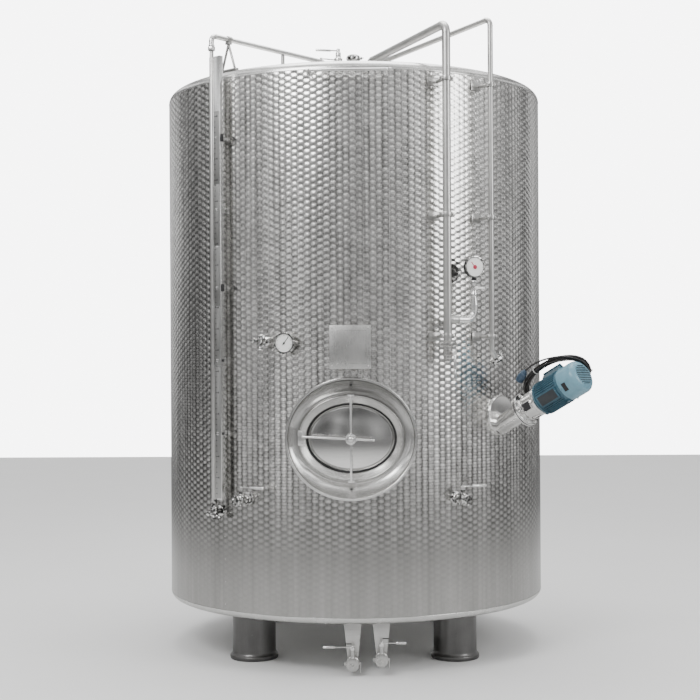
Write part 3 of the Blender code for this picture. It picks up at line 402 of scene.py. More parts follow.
def spotGroup():
    # round polishing marks in staggered columns: shape runs from 0 at a spot's middle to 1 at its rim, glint is
    # the fan of painted highlight and shade across it, tone its own brightness and seam glint the painted highlight
    # line along some columns
    group, given, result = newGroup("spotPolish", [("Around", "NodeSocketFloat", 0.0), ("Up", "NodeSocketFloat", 0.0)],
                                    [("Shape", "NodeSocketFloat"), ("Glint", "NodeSocketFloat"),
                                     ("Tone", "NodeSocketFloat"), ("Seam", "NodeSocketFloat"),
                                     ("Braid", "NodeSocketFloat")])
    pitch = marbling["acrossPitch"]
    columns = doMath(group, "DIVIDE", given.outputs["Around"], pitch)
    column = doMath(group, "FLOOR", columns)
    inside = doMath(group, "FRACT", columns)
    middle = doMath(group, "SUBTRACT", inside, 0.5)
    side = doMath(group, "SIGN", middle)
    otherColumn = doMath(group, "ADD", column, side)
    otherAcross = doMath(group, "MULTIPLY", doMath(group, "SUBTRACT", middle, side), pitch)
    own = spotColumn(group, doMath(group, "MULTIPLY", middle, pitch), column, given.outputs["Up"])
    other = spotColumn(group, otherAcross, otherColumn, given.outputs["Up"])
    nearer = doMath(group, "LESS_THAN", other[1], own[1])
    offset = mixValue(group, nearer, own[0], other[0])
    square = mixValue(group, nearer, own[1], other[1])
    shape = doMath(group, "DIVIDE", square, marbling["spotRadius"] ** 2)
    upShare = doMath(group, "DIVIDE", doMath(group, "MULTIPLY", offset, offset), doMath(group, "ADD", square, 1e-7))
    glint = doMath(group, "MULTIPLY", doMath(group, "SUBTRACT", upShare, 0.5), doMath(group, "SQRT", shape))
    seed = group.nodes.new("ShaderNodeCombineXYZ")
    put(group, seed.inputs[0], mixValue(group, nearer, column, otherColumn))
    row = doMath(group, "ROUND", doMath(group, "DIVIDE", doMath(group, "SUBTRACT", given.outputs["Up"], offset),
                                        marbling["upPitch"] * 0.5))
    put(group, seed.inputs[1], row)
    speck = group.nodes.new("ShaderNodeTexWhiteNoise")
    speck.noise_dimensions = "2D"
    group.links.new(seed.outputs[0], speck.inputs["Vector"])
    chance = group.nodes.new("ShaderNodeTexWhiteNoise")
    chance.noise_dimensions = "1D"
    group.links.new(column, chance.inputs["W"])
    chosen = doMath(group, "GREATER_THAN", chance.outputs["Value"], 1.0 - marbling["seams"])
    # painted highlight: a bright line along the edge of some columns
    seamGlint = doMath(group, "MULTIPLY", chosen, doMath(group, "LESS_THAN", inside, 0.12))
    # a braid of painted highlights at the spots' middles and painted shade at the points between them
    rowAngle = doMath(group, "MULTIPLY", given.outputs["Up"], 2 * math.pi / marbling["upPitch"])
    columnAngle = doMath(group, "MULTIPLY_ADD", columns, math.pi, -0.5 * math.pi)
    braid = doMath(group, "MULTIPLY", doMath(group, "COSINE", rowAngle), doMath(group, "COSINE", columnAngle))
    for i, value in enumerate((shape, glint, speck.outputs["Value"], seamGlint, braid)):
        group.links.new(value, result.inputs[i])
    return group


def mixValue(tree, share, first, second):
    made = tree.nodes.new("ShaderNodeMix")
    made.data_type = "FLOAT"
    put(tree, made.inputs["Factor"], share)
    put(tree, made.inputs[2], first)
    put(tree, made.inputs[3], second)
    return made.outputs[0]


def grainGroup():
    # fine lines along x of the given vector, with soft blotches from handling
    group, given, result = newGroup(
        "brushedGrain",
        [("Vector", "NodeSocketVector", None), ("Lines", "NodeSocketFloat", 900.0), ("Blotches", "NodeSocketFloat", 9.0)],
        [("Grain", "NodeSocketFloat"), ("Blotch", "NodeSocketFloat")],
    )
    lines = stretched(group, given.outputs["Vector"], (0.02, 1.0, 1.0))
    grain = noise(group, lines, given.outputs["Lines"], 2.0, 0.6)
    blotch = noise(group, given.outputs["Vector"], given.outputs["Blotches"], 4.0, 0.6)
    group.links.new(grain, result.inputs[0])
    group.links.new(blotch, result.inputs[1])
    return group


shared = {"wrap": wrapGroup(), "spots": spotGroup(), "grain": grainGroup()}


def placeGroup(tree, name, **inputs):
    made = tree.nodes.new("ShaderNodeGroup")
    made.node_tree = shared[name]
    for label, value in inputs.items():
        put(tree, made.inputs[label], value)
    return made.outputs


def newSurface(name, metallic, **plain):
    # plain values go straight onto the shader's own sockets
    material = bpy.data.materials.new(name)
    material.use_nodes = True
    tree = material.node_tree
    surface = tree.nodes["Principled BSDF"]
    surface.inputs["Metallic"].default_value = metallic
    for label, value in plain.items():
        surface.inputs[label.replace("_", " ")].default_value = value
    place = tree.nodes.new("ShaderNodeTexCoord").outputs["Object"]
    return material, tree, surface, place


def addBump(tree, surface, height, distance, strength=1.0):
    bump = tree.nodes.new("ShaderNodeBump")
    put(tree, bump.inputs["Height"], height)
    bump.inputs["Distance"].default_value = distance
    bump.inputs["Strength"].default_value = strength
    tree.links.new(bump.outputs[0], surface.inputs["Normal"])
    return bump


marbledLook = {
    "bright": (0.97, 0.96, 0.94, 1.0),
    "dull": (0.20, 0.198, 0.19, 1.0),
    "roughness": 0.15,
    "spotDepth": 0.0006,     # height of a spot's dish, for the bump
    "calm": (0.56, 0.98),     # the marks grow from faint to clear between these heights
}


def marbledSteel():
    look = marbledLook
    material, tree, surface, place = newSurface("marbledSteel", 1.0)
    wall = placeGroup(tree, "wrap", Vector=place)
    spots = placeGroup(tree, "spots", Around=wall["Around"], Up=wall["Up"])
    streaks = noise(tree, stretched(tree, wall["Vector"], (11.0, 0.35, 1.0)), 1.6, 4.0, 0.65)
    fine = noise(tree, stretched(tree, wall["Vector"], (60.0, 1.2, 1.0)), 1.0, 2.0, 0.5)
    sparkle = noise(tree, wall["Vector"], 160.0, 2.0, 0.6)
    clear = spread(tree, wall["Up"], *look["calm"], 0.06, 1.0)
    # painted highlight and shade: each spot is lighter above and below its middle and darker at its sides
    marks = doMath(tree, "MULTIPLY", spots["Glint"], 0.30)
    # painted shade darkening the rim of each spot
    marks = doMath(tree, "MULTIPLY_ADD", spread(tree, spots["Shape"], 0.50, 0.95), -0.34, marks)
    # painted highlights and painted shade from the braid
    marks = doMath(tree, "MULTIPLY_ADD", spread(tree, spots["Braid"], 0.30, 1.0), 0.34, marks)
    marks = doMath(tree, "MULTIPLY_ADD", spread(tree, spots["Braid"], -0.15, -0.85), -0.10, marks)
    marks = doMath(tree, "MULTIPLY_ADD", spread(tree, spots["Tone"], 0.0, 1.0, -0.5, 0.5), 0.30, marks)
    marks = doMath(tree, "MULTIPLY_ADD", spread(tree, fine, 0.3, 0.7, -0.5, 0.5), 0.34, marks)
    # painted sparkle: fine bright and dark specks of reflection
    marks = doMath(tree, "MULTIPLY_ADD", spread(tree, sparkle, 0.3, 0.7, -0.5, 0.5), 0.50, marks)
    # painted highlight line along the edge of some columns
    marks = doMath(tree, "MULTIPLY_ADD", spots["Seam"], 0.45, marks)
    # streaks of polish tone with painted reflection streaks, times painted shade that darkens the wall towards the
    # bottom
    paintedStreaksAndShade = doMath(tree, "MULTIPLY", spread(tree, streaks, 0.3, 0.7, 0.50, 0.92), spread(tree, wall["Up"], 0.55, 1.25, 0.36, 1.0))
    tone = doMath(tree, "MULTIPLY_ADD", marks, clear, paintedStreaksAndShade)
    tree.links.new(mixColour(tree, tone, look["dull"], look["bright"]), surface.inputs["Base Color"])
    rough = doMath(tree, "MULTIPLY_ADD", streaks, 0.12, look["roughness"])
    tree.links.new(rough, surface.inputs["Roughness"])
    dish = doMath(tree, "MULTIPLY_ADD", spots["Shape"], -0.8, spots["Braid"])
    addBump(tree, surface, doMath(tree, "MULTIPLY", dish, clear), look["spotDepth"])
    return material


def steel(name, colour, roughness, lines=700.0, depth=0.00002, turn=(0.0, 0.0, 0.0), blotchy=0.06, wrapped=False,
          shadeAbove=None, clutter=None):
    # a pair of heights, if given, darkens the surface above them with painted shade; clutter is the size of the painted
    # dark reflections on chrome
    material, tree, surface, place = newSurface(name, 1.0)
    if wrapped:
        place = placeGroup(tree, "wrap", Vector=place)["Vector"]
    grain = placeGroup(tree, "grain", Vector=stretched(tree, place, (1.0, 1.0, 1.0), turn), Lines=lines)
    dim = [value * 0.80 for value in colour]
    shade = spread(tree, doMath(tree, "MULTIPLY_ADD", grain["Grain"], 0.4, doMath(tree, "MULTIPLY", grain["Blotch"], 0.6)),
                   0.35, 0.65)
    tint = mixColour(tree, shade, (*dim, 1.0), (*colour, 1.0))
    if shadeAbove is not None:
        # painted shade: darker above the given heights, with a blotchy edge
        parts = tree.nodes.new("ShaderNodeSeparateXYZ")
        tree.links.new(tree.nodes["Texture Coordinate"].outputs["Object"], parts.inputs[0])
        drift = doMath(tree, "MULTIPLY_ADD", grain["Blotch"], 0.10, doMath(tree, "SUBTRACT", parts.outputs[2], 0.05))
        tint = mixColour(tree, spread(tree, drift, *shadeAbove), tint, [value * 0.5 for value in colour] + [1.0])
    # painted reflection: dark flecks of the hall mirrored in chrome
    if clutter is not None:
        glints = noise(tree, place, clutter, 2.0, 0.6)
        tint = mixColour(tree, spread(tree, glints, 0.46, 0.53), [value * 0.14 for value in colour] + [1.0], tint)
    tree.links.new(tint, surface.inputs["Base Color"])
    rough = doMath(tree, "MULTIPLY_ADD", grain["Blotch"], 2 * blotchy, roughness - blotchy)
    tree.links.new(doMath(tree, "MULTIPLY_ADD", grain["Grain"], 0.05, rough), surface.inputs["Roughness"])
    addBump(tree, surface, grain["Grain"], depth)
    return material


def coated(name, light, dark, roughness, scale=180.0, depth=0.00006, coat=0.0, worn=None,
           glow=0.0):
    # paint, plastic or rubber: two close tones, an orange peel, wear where asked, and a painted glow where asked
    material, tree, surface, place = newSurface(name, 0.0, Coat_Weight=coat)
    broad = noise(tree, place, 14.0, 4.0, 0.6)
    peel = noise(tree, place, scale, 2.0, 0.5)
    colour = mixColour(tree, spread(tree, broad, 0.35, 0.65), (*dark, 1.0), (*light, 1.0))
    if worn is not None:
        marks = spread(tree, noise(tree, place, 60.0, 5.0, 0.7), 0.62, 0.72)
        colour = mixColour(tree, marks, colour, (*worn, 1.0))
    tree.links.new(colour, surface.inputs["Base Color"])
    if glow:
        # painted light: the colour glows though the part is no lamp
        tree.links.new(colour, surface.inputs["Emission Color"])
        surface.inputs["Emission Strength"].default_value = glow
    tree.links.new(doMath(tree, "MULTIPLY_ADD", broad, 0.14, roughness), surface.inputs["Roughness"])
    addBump(tree, surface, peel, depth)
    return material


def sightGlass():
    material, tree, surface, place = newSurface("sightGlass", 0.0, Transmission_Weight=0.85, IOR=1.45)
    film = noise(tree, stretched(tree, place, (40.0, 40.0, 3.0)), 1.0, 3.0)
    tree.links.new(mixColour(tree, film, (0.62, 0.66, 0.66, 1.0), (0.86, 0.90, 0.90, 1.0)), surface.inputs["Base Color"])
    tree.links.new(spread(tree, film, 0.3, 0.7, 0.04, 0.16), surface.inputs["Roughness"])
    return material


finishes = {
    "marbled": marbledSteel(),
    "polished": steel("polishedSteel", (0.95, 0.945, 0.93), 0.13, 500.0, 0.000006),
    "pipe": steel("pipeSteel", (0.66, 0.655, 0.64), 0.32, 800.0, 0.00001, (0.0, math.pi / 2, 0.0)),
    "collar": steel("collarSteel", (0.66, 0.655, 0.64), 0.21, 500.0, 0.00001),
    "mirror": steel("mirrorSteel", (0.97, 0.965, 0.95), 0.08, 300.0, 0.000004, blotchy=0.04, clutter=85.0),
    "door": steel("doorSteel", (0.97, 0.965, 0.95), 0.12, 260.0, 0.000006, shadeAbove=(1.00, 1.16)),
    "funnel": steel("funnelSteel", (0.92, 0.915, 0.90), 0.21, 500.0, 0.00001, shadeAbove=(0.98, 1.20)),
    "satin": steel("satinSteel", (0.56, 0.555, 0.54), 0.33, 900.0, 0.00002),
    "leg": steel("legSteel", (0.17, 0.168, 0.165), 0.30, 700.0, 0.00002, (0.0, math.pi / 2, 0.0)),
    "knuckle": steel("knuckleSteel", (0.84, 0.835, 0.82), 0.24, 400.0, 0.00001, wrapped=True),
    "roof": steel("roofSteel", (0.66, 0.655, 0.64), 0.30, 420.0, 0.00002, wrapped=True),
    "fastener": steel("fastenerSteel", (0.62, 0.615, 0.60), 0.22, 900.0, 0.00001),
    "bright": steel("brightSteel", (0.98, 0.975, 0.965), 0.20, 500.0, 0.000006),
    "drain": steel("drainSteel", (0.70, 0.695, 0.68), 0.26, 500.0, 0.00001),
    "plate": steel("plateSteel", (0.84, 0.835, 0.82), 0.26, 1200.0, 0.00001, (0.0, math.pi / 2, 0.0)),
    "gaugeSteel": steel("gaugeSteel", (0.80, 0.80, 0.79), 0.16, 500.0, 0.00001, (0.0, math.pi / 2, 0.0)),
    "scale": steel("scaleSteel", (0.50, 0.50, 0.49), 0.30, 700.0, 0.00001, (0.0, math.pi / 2, 0.0)),
    "glass": sightGlass(),
    "red": coated("pointerRed", (0.62, 0.05, 0.10), (0.48, 0.03, 0.07), 0.40),
    "white": coated("dialWhite", (0.86, 0.86, 0.84), (0.80, 0.80, 0.78), 0.30, 300.0, 0.00001, 0.5, glow=0.35),
    "ink": coated("dialInk", (0.03, 0.03, 0.03), (0.015, 0.015, 0.018), 0.45),
    "gasket": coated("blackRubber", (0.030, 0.030, 0.032), (0.012, 0.012, 0.014), 0.55),
    "motor": coated("motorPaint", (0.055, 0.150, 0.205), (0.028, 0.090, 0.130), 0.30, 260.0, 0.00008, 0.35,
                    (0.16, 0.30, 0.36)),
    "cowl": coated("cowlPaint", (0.200, 0.400, 0.500), (0.130, 0.300, 0.390), 0.32, 260.0, 0.00008, 0.35),
    "plateDark": coated("darkPlate", (0.050, 0.055, 0.060), (0.025, 0.030, 0.035), 0.35),
    "boxBrown": coated("boxPaint", (0.42, 0.33, 0.24), (0.25, 0.19, 0.14), 0.45),
    "cable": coated("blackCable", (0.030, 0.028, 0.028), (0.012, 0.011, 0.011), 0.32, 900.0, 0.00003, 0.25),
    "tie": coated("whiteTie", (0.80, 0.80, 0.78), (0.70, 0.70, 0.68), 0.40),
    "plug": coated("plugBlue", (0.075, 0.130, 0.200), (0.035, 0.070, 0.120), 0.35, coat=0.2),
}
print("materials made")


# Motor cable: it leaves the gland, winds seven times over the terminal box and ends in its plug

mixer = {
    "angle": 46.8,            # where the shaft line leaves the wall
    "height": 1.145,
    "tilt": 27.0,             # degrees above level
    "padRadius": 0.096,
    "padLift": 0.050,
    "flangeAt": 0.168,        # along the shaft line
    "flangeRadius": 0.080,
    "lanternEnd": 0.278,
    "boxAt": 0.353,
    "motorRadius": 0.080,
    "cowlRadius": 0.078,
    "cowlStart": 0.438,
    "cowlEnd": 0.5415,
}


def mixerFrame():
    # z along the shaft line, x to the right, y towards the top
    tilt = Matrix.Rotation(math.radians(90.0 - mixer["tilt"]), 4, "X")
    return wallFrame(mixer["angle"], tank["radius"], mixer["height"]) @ tilt


def boxFrame():
    # z outwards through the terminal box, y along the shaft line towards the tank
    lean = Matrix.Rotation(math.radians(-45.0), 4, "Z")
    along = Matrix.Translation((0, 0, mixer["boxAt"]))
    return mixerFrame() @ along @ lean @ Matrix.Rotation(-math.pi / 2, 4, "X")


cable = {
    "radius": 0.0045,
    "spacing": 0.0104,        # between turns that lie side by side
    "halfLength": 0.175,      # of the coil's oval
    "halfWidth": 0.100,
    "height": 0.0953,         # the coil's middle above the shaft line
    "firstTurn": 0.15,        # where the lead joins the coil, as a share of a turn
    "lastTurn": 6.62,         # where the cable leaves it for the plug
    "shift": 0.085,           # the share of a turn over which it changes its place in the bundle
    "firstShift": 1.03,
    "pointsPerTurn": 56,
    "plugTurn": -0.153,
    "plugOut": 0.0353,        # the plug's middle outside the coil's middle line
    "plugLength": 0.072,
    "ties": (0.055, 0.42, 0.79),
}
gland = (0.0, 0.0773, 0.104)  # the cable's exit, in the terminal box's frame
leadRoute = (
    gland,
    (0.0, 0.0847, 0.104),
    (0.0008, 0.0924, 0.1039),
    (0.0032, 0.0998, 0.1035),
    (0.0071, 0.1065, 0.1028),
    (0.0123, 0.1123, 0.1021),
    (0.0185, 0.1168, 0.1012),
    (0.0256, 0.1200, 0.1002),
    (0.0332, 0.1216, 0.0992),
    (0.0410, 0.1216, 0.0982),
    (0.0461, 0.1207, 0.0976),
    (0.0516, 0.1189, 0.0970),
    (0.0556, 0.1168, 0.0965),
    (0.0599, 0.1139, 0.0961),
    (0.0638, 0.1105, 0.0957),
    (0.0671, 0.1065, 0.0955),
    (0.0699, 0.1021, 0.0953),
)
# Places in the bundle in the order that the turns take them, as angles from outwards; None is the middle
bundleOrder = (180.0, 120.0, 60.0, None, 240.0, 300.0, 0.0)


def smoothStep(value):
    value = min(1.0, max(0.0, value))
    return value * value * (3 - 2 * value)


def coilFrame(turn):
    around = 2 * math.pi * turn
    middle = Vector((cable["halfWidth"] * math.sin(around), cable["halfLength"] * math.cos(around), cable["height"]))
    along = Vector((cable["halfWidth"] * math.cos(around), -cable["halfLength"] * math.sin(around), 0)).normalized()
    outwards = Vector((-along.y, along.x, 0.0))
    return middle, along, outwards


def bundlePlace(index):
    angle = bundleOrder[index]
    if angle is None:
        return Vector((0.0, 0.0))
    angle = math.radians(angle)
    return Vector((math.cos(angle), math.sin(angle))) * cable["spacing"]


def cablePoint(turn):
    place = bundlePlace(0)
    for k in range(1, len(bundleOrder)):
        start = cable["firstShift"] + (k - 1) * (1 - cable["shift"]) - cable["shift"] / 2
        share = smoothStep((turn - start) / cable["shift"])
        place = place.lerp(bundlePlace(k), share)
    middle, along, outwards = coilFrame(turn)
    leaving = smoothStep((turn - cable["lastTurn"]) / plugReach())
    out = place.x + (cable["plugOut"] - place.x) * leaving
    return middle + outwards * out + Vector((0, 0, place.y * (1 - leaving)))


def plugEntry():
    middle, along, outwards = coilFrame(cable["plugTurn"])
    return middle + outwards * cable["plugOut"] - along * cable["plugLength"] / 2


def plugReach():
    return 7 + cable["plugTurn"] - 0.045 - cable["lastTurn"]


def cableRoute():
    points = [Vector(point) for point in leadRoute]
    steps = round((7 + cable["plugTurn"] - 0.045 - cable["firstTurn"]) * cable["pointsPerTurn"])
    last = 7 + cable["plugTurn"] - 0.045
    for i in range(steps + 1):
        points.append(cablePoint(cable["firstTurn"] + (last - cable["firstTurn"]) * i / steps))
    while (points[-1] - plugEntry()).dot(coilFrame(cable["plugTurn"])[1]) > -0.004:
        points.pop()
    points.append(plugEntry())
    stand = boxFrame()
    return [stand @ point for point in points]


def makeCable():
    route = cableRoute()
    data = bpy.data.curves.new("motorCable", "CURVE")
    data.dimensions = "3D"
    data.bevel_depth = cable["radius"]
    data.bevel_resolution = 4
    data.use_fill_caps = True
    spline = data.splines.new("POLY")
    spline.points.add(len(route) - 1)
    for point, corner in zip(spline.points, route):
        point.co = (*corner, 1.0)
    data.materials.append(finishes["cable"])
    piece = bpy.data.objects.new("motorCable", data)
    bpy.context.scene.collection.objects.link(piece)
    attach(piece, "tank")
    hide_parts("cable_coil", "cable_lead")
    length = sum((b - a).length for a, b in zip(route, route[1:]))
    print("cable length", round(length, 3))
    return piece, route, length


def makePlug():
    # moulded body, a tapered relief with ribs, and the pin collar
    work = bmesh.new()
    middle, along, outwards = coilFrame(cable["plugTurn"])
    place = boxFrame() @ Matrix.Translation(middle + outwards * cable["plugOut"]) @ turnTo(along)
    half = cable["plugLength"] / 2
    addTurned(work, [(0, half), (0.0165, half), (0.0195, half - 0.002), (0.0195, half - 0.012), (0.0175, half - 0.013),
                     (0.0175, half - 0.016), (0.0198, half - 0.018), (0.0198, 0.004), (0.0175, 0.0), (0.016, -0.016),
                     (0.0125, -0.018)], place, 28)
    profile = [(0.0125, -0.018)]
    for i in range(5):
        start = -0.019 - i * 0.0034
        profile += [(0.0120 - i * 0.0011, start), (0.0105 - i * 0.0011, start - 0.001), (0.0105 - i * 0.0011, start - 0.0028)]
    profile += [(0.0062, -half + 0.0005), (cable["radius"] + 0.0006, -half), (0, -half)]
    addTurned(work, [(0, -0.017)] + profile, place, 24)
    for i in range(8):
        ridge = Matrix.Rotation(2 * math.pi * i / 8, 4, "Z")
        addBlock(work, (0.0190, 0, 0.012), (0.0018, 0.004, 0.026), place @ ridge, edge=0.0006)
    return finishPiece("cablePlug", work, finishes["plug"], replaced=("cable_plug",))


def makeCableTies():
    # flat straps round the bundle, each with its locking head
    work = bmesh.new()
    stand = boxFrame()
    for turn in cable["ties"]:
        middle, along, outwards = coilFrame(turn)
        place = stand @ Matrix.Translation(middle) @ turnTo(along)
        addTurned(work, [(0.0153, -0.0026), (0.0163, -0.0026), (0.0163, 0.0026), (0.0153, 0.0026), (0.0153, -0.0026)],
                  place, 28)
        head = place.inverted() @ stand @ (middle + (outwards + Vector((0, 0, 0.6))).normalized() * 0.0175)
        addBlock(work, head, (0.008, 0.008, 0.007), place)
    return finishPiece("cableTies", work, finishes["tie"])


def makeRelief(route):
    # tapered sleeve over the cable where it leaves the gland
    work = bmesh.new()
    length = 0.0
    for i in range(len(leadRoute) - 5):
        step = route[i + 1] - route[i]
        share = i / (len(leadRoute) - 6)
        radius = 0.0095 - 0.0038 * share
        place = Matrix.Translation(route[i]) @ turnTo(step)
        addTurned(work, [(0, -0.001), (radius, -0.001), (radius - 0.0004, step.length - 0.0008),
                         (radius - 0.0012, step.length), (0, step.length)], place, 18)
        length += step.length
        if length > 0.036:
            break
    return finishPiece("cableRelief", work, finishes["cable"])


cableRun, cablePath, cableLength = makeCable()
cablePlug = makePlug()
cableTies = makeCableTies()
cableRelief = makeRelief(cablePath)
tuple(cablePath[0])
print("cable wound")


# Studio: a pale floor, a room that is paler above, and soft lamps

studio = {
    "floor": (0.92, 0.92, 0.915, 1.0),
    "floorBounce": (0.60, 0.60, 0.595, 1.0),      # what the steel sees of the floor
    "floorDim": (3.2, 7.5),   # distances between which that dims
    "backdrop": (7.0, 7.0, 7.04),
    "strength": 1.0,
    # brightness of the room round the tank, by the bearing from the front in degrees
    "room": ((-180, 0.42), (-150, 0.60), (-128, 0.40), (-112, 0.07), (-97, 0.12), (-88, 0.62), (-70, 0.56), (-56, 0.76),
             (-44, 1.00), (-32, 0.62), (-16, 0.44), (4, 0.50), (20, 0.40), (34, 0.62), (50, 0.66), (66, 0.60),
             (78, 0.72), (92, 0.46), (104, 0.16), (116, 0.60), (126, 0.22), (140, 0.50), (160, 0.30), (180, 0.42)),
    # and of the ceiling with its long lamps, by the height above the horizon in degrees
    "ceiling": ((0, 0.60), (9, 0.62), (14, 0.15), (19, 0.25), (24, 1.60), (29, 0.30), (36, 0.12), (44, 1.90), (52, 0.90),
                (60, 0.50), (70, 2.20), (90, 1.60)),
    "horizon": 0.54,          # how much the walls dim towards eye level
    "clutter": (9.0, 0.24, 1.90),     # posts and windows along the walls: how many, the darkest and the brightest
}


def roomRamp(tree, place, stops, low, high):
    ramp = tree.nodes.new("ShaderNodeValToRGB")
    ramp.color_ramp.interpolation = "EASE"
    while len(ramp.color_ramp.elements) > 1:
        ramp.color_ramp.elements.remove(ramp.color_ramp.elements[-1])
    for i, (angle, level) in enumerate(stops):
        spot = (angle - low) / (high - low)
        element = ramp.color_ramp.elements[0] if i == 0 else ramp.color_ramp.elements.new(spot)
        element.position = spot
        element.color = (level, level, level, 1.0)
    tree.links.new(spread(tree, place, math.radians(low), math.radians(high)), ramp.inputs[0])
    return ramp.outputs[0]


def makeRoom():
    world = bpy.data.worlds.new("room")
    bpy.context.scene.world = world
    world.use_nodes = True
    tree = world.node_tree
    background = tree.nodes["Background"]
    place = tree.nodes.new("ShaderNodeTexCoord").outputs["Generated"]
    parts = tree.nodes.new("ShaderNodeSeparateXYZ")
    tree.links.new(place, parts.inputs[0])
    back = doMath(tree, "MULTIPLY", parts.outputs[1], -1.0)
    angle = doMath(tree, "ARCTAN2", parts.outputs[0], back)
    walls = roomRamp(tree, angle, studio["room"], -180.0, 180.0)
    rise = doMath(tree, "ARCSINE", parts.outputs[2])
    shade = spread(tree, rise, -0.04, 0.16, studio["horizon"], 1.30)
    walls = mixColour(tree, 1.0, walls, shade, "MULTIPLY")
    ceiling = roomRamp(tree, rise, studio["ceiling"], 0.0, 90.0)
    colour = mixColour(tree, spread(tree, rise, 0.12, 0.30), walls, ceiling)
    count, darkest, brightest = studio["clutter"]
    posts = noise(tree, stretched(tree, place, (1.0, 1.0, 0.3)), count, 2.0, 0.5)
    posts = spread(tree, posts, 0.36, 0.64, darkest, brightest)
    colour = mixColour(tree, 1.0, colour, posts, "MULTIPLY")
    plain = tree.nodes.new("ShaderNodeLightPath").outputs["Is Camera Ray"]
    colour = mixColour(tree, plain, colour, (*studio["backdrop"], 1.0))
    tree.links.new(colour, background.inputs["Color"])
    background.inputs["Strength"].default_value = studio["strength"]


def makeFloor():
    material, tree, surface, place = newSurface("paleFloor", 0.0)
    mottle = noise(tree, place, 1.3, 5.0, 0.6)
    light = studio["floor"]
    dark = [value * 0.96 for value in light[:3]]
    seen = tree.nodes.new("ShaderNodeLightPath").outputs["Is Camera Ray"]
    distance = tree.nodes.new("ShaderNodeVectorMath")
    distance.operation = "LENGTH"
    tree.links.new(place, distance.inputs[0])
    far = spread(tree, distance.outputs["Value"], *studio["floorDim"])
    bounce = mixColour(tree, far, studio["floorBounce"], [value * 0.25 for value in studio["floorBounce"][:3]] + [1.0])
    colour = mixColour(tree, seen, bounce, mixColour(tree, mottle, (*dark, 1.0), light))
    tree.links.new(colour, surface.inputs["Base Color"])
    tree.links.new(spread(tree, mottle, 0.3, 0.7, 0.65, 0.8), surface.inputs["Roughness"])
    work = bmesh.new()
    bmesh.ops.create_grid(work, x_segments=1, y_segments=1, size=14.0)
    mesh = bpy.data.meshes.new("floor")
    work.to_mesh(mesh)
    work.free()
    mesh.materials.append(material)
    floor = bpy.data.objects.new("floor", mesh)
    bpy.context.scene.collection.objects.link(floor)


def makeLamp(name, place, target, size, power):
    data = bpy.data.lights.new(name, "AREA")
    data.shape = "RECTANGLE"
    data.size, data.size_y = size
    data.energy = power
    lamp = bpy.data.objects.new(name, data)
    bpy.context.scene.collection.objects.link(lamp)
    aim = (Vector(target) - Vector(place)).to_track_quat("-Z", "Y").to_matrix().to_4x4()
    lamp.matrix_world = Matrix.Translation(place) @ aim


makeRoom()
makeFloor()
makeLamp("keyLamp", (-2.6, -4.6, 5.2), (0, 0, 1.6), (2.4, 1.6), 150)
makeLamp("fillLamp", (4.6, -3.2, 3.4), (0, 0, 1.4), (1.6, 2.4), 70)
makeLamp("topLamp", (0, 0.6, 6.2), (0, 0, 2.8), (3.4, 3.4), 160)
print("studio lit")


# Shell: cladding with the manway's hole, roof, floor and legs

shell = {
    "steps": 240,
    "sheet": 0.0016,          # thickness of the cladding
    "seams": (-38.5, 51.5, 141.5, 231.5),
    "rivetPitch": 0.105,
    "rivet": 0.0027,
}
wallNodes = ("front_lower", "front_left", "front_right", "front_upper", "right_front", "right", "right_back",
             "back_right", "back_left", "left_back", "left", "left_front")
manway = {
    "height": 1.100,
    "lip": (0.3060, 0.2840),  # half width and half height of each oval
    "neck": (0.2440, 0.2000),
    "mouth": (0.2100, 0.1625),
    "door": (0.2220, 0.1745),
    "lipProud": 0.005,
    "neckFront": 0.928,       # distances from the tank's axis
    "neckBack": 0.862,
    "doorDome": 0.018,
    "doorThick": 0.012,
    "bossFront": 0.893,
    "hinge": (-0.235, -0.850),
    "barrel": 0.009,
    "barrelHalf": 0.038,
    "yokeHalf": 0.202,
    "yokeSize": (0.010, 0.034),
    "tommy": (0.224, 0.107, 3.0),
    "holes": (0.248, -0.234),
}


def cutBy(piece, cutter):
    step = piece.modifiers.new("opening", "BOOLEAN")
    step.operation = "DIFFERENCE"
    step.solver = "EXACT"
    step.object = cutter
    bpy.context.view_layer.update()
    mesh = bpy.data.meshes.new_from_object(piece.evaluated_get(bpy.context.evaluated_depsgraph_get()))
    piece.modifiers.clear()
    old = piece.data
    piece.data = mesh
    bpy.data.meshes.remove(old)
    bpy.data.objects.remove(cutter, do_unlink=True)
    piece.data.shade_smooth()
    piece.data.set_sharp_from_angle(angle=math.radians(30.0))


def makeCladding():
    radius = tank["radius"]
    low = tank["low"] + tank["bottomKnuckle"] + 0.0010
    high = tank["high"] - tank["topKnuckle"] - 0.0010
    sheet = shell["sheet"]
    work = bmesh.new()
    outline = [(radius - sheet, high), (radius - 0.0006, high), (radius, high - 0.0010), (radius, low + 0.0010),
               (radius - 0.0006, low), (radius - sheet, low), (radius - sheet, high)]
    addTurned(work, outline, None, shell["steps"])
    piece = finishPiece("cladding", work, finishes["marbled"],
                        replaced=["wall_" + name for name in wallNodes])
    opening = bmesh.new()
    size = (manway["lip"][0] - 0.006, manway["lip"][1] - 0.006)
    sections = [(*size, radius + 0.04, False), (*size, radius - 0.16, False)]
    stand = Matrix.Translation((0, 0, manway["height"]))
    addOvals(opening, sections, stand, filled=True)
    mesh = bpy.data.meshes.new("opening")
    opening.to_mesh(mesh)
    opening.free()
    cutter = bpy.data.objects.new("opening", mesh)
    bpy.context.scene.collection.objects.link(cutter)
    cutBy(piece, cutter)


def makeSeamRivets():
    work = bmesh.new()
    low, high = tank["low"] + 0.06, tank["high"] - 0.09
    count = round((high - low) / shell["rivetPitch"])
    for angle in shell["seams"]:
        for i in range(count + 1):
            stand = outward(wallFrame(angle, tank["radius"], low + (high - low) * i / count))
            size = shell["rivet"]
            addTurned(work, [(0, size * 0.55), (size * 0.6, size * 0.45), (size, 0.0001), (0, 0.0001)], stand, 10)
    finishPiece("seamRivets", work, finishes["fastener"])


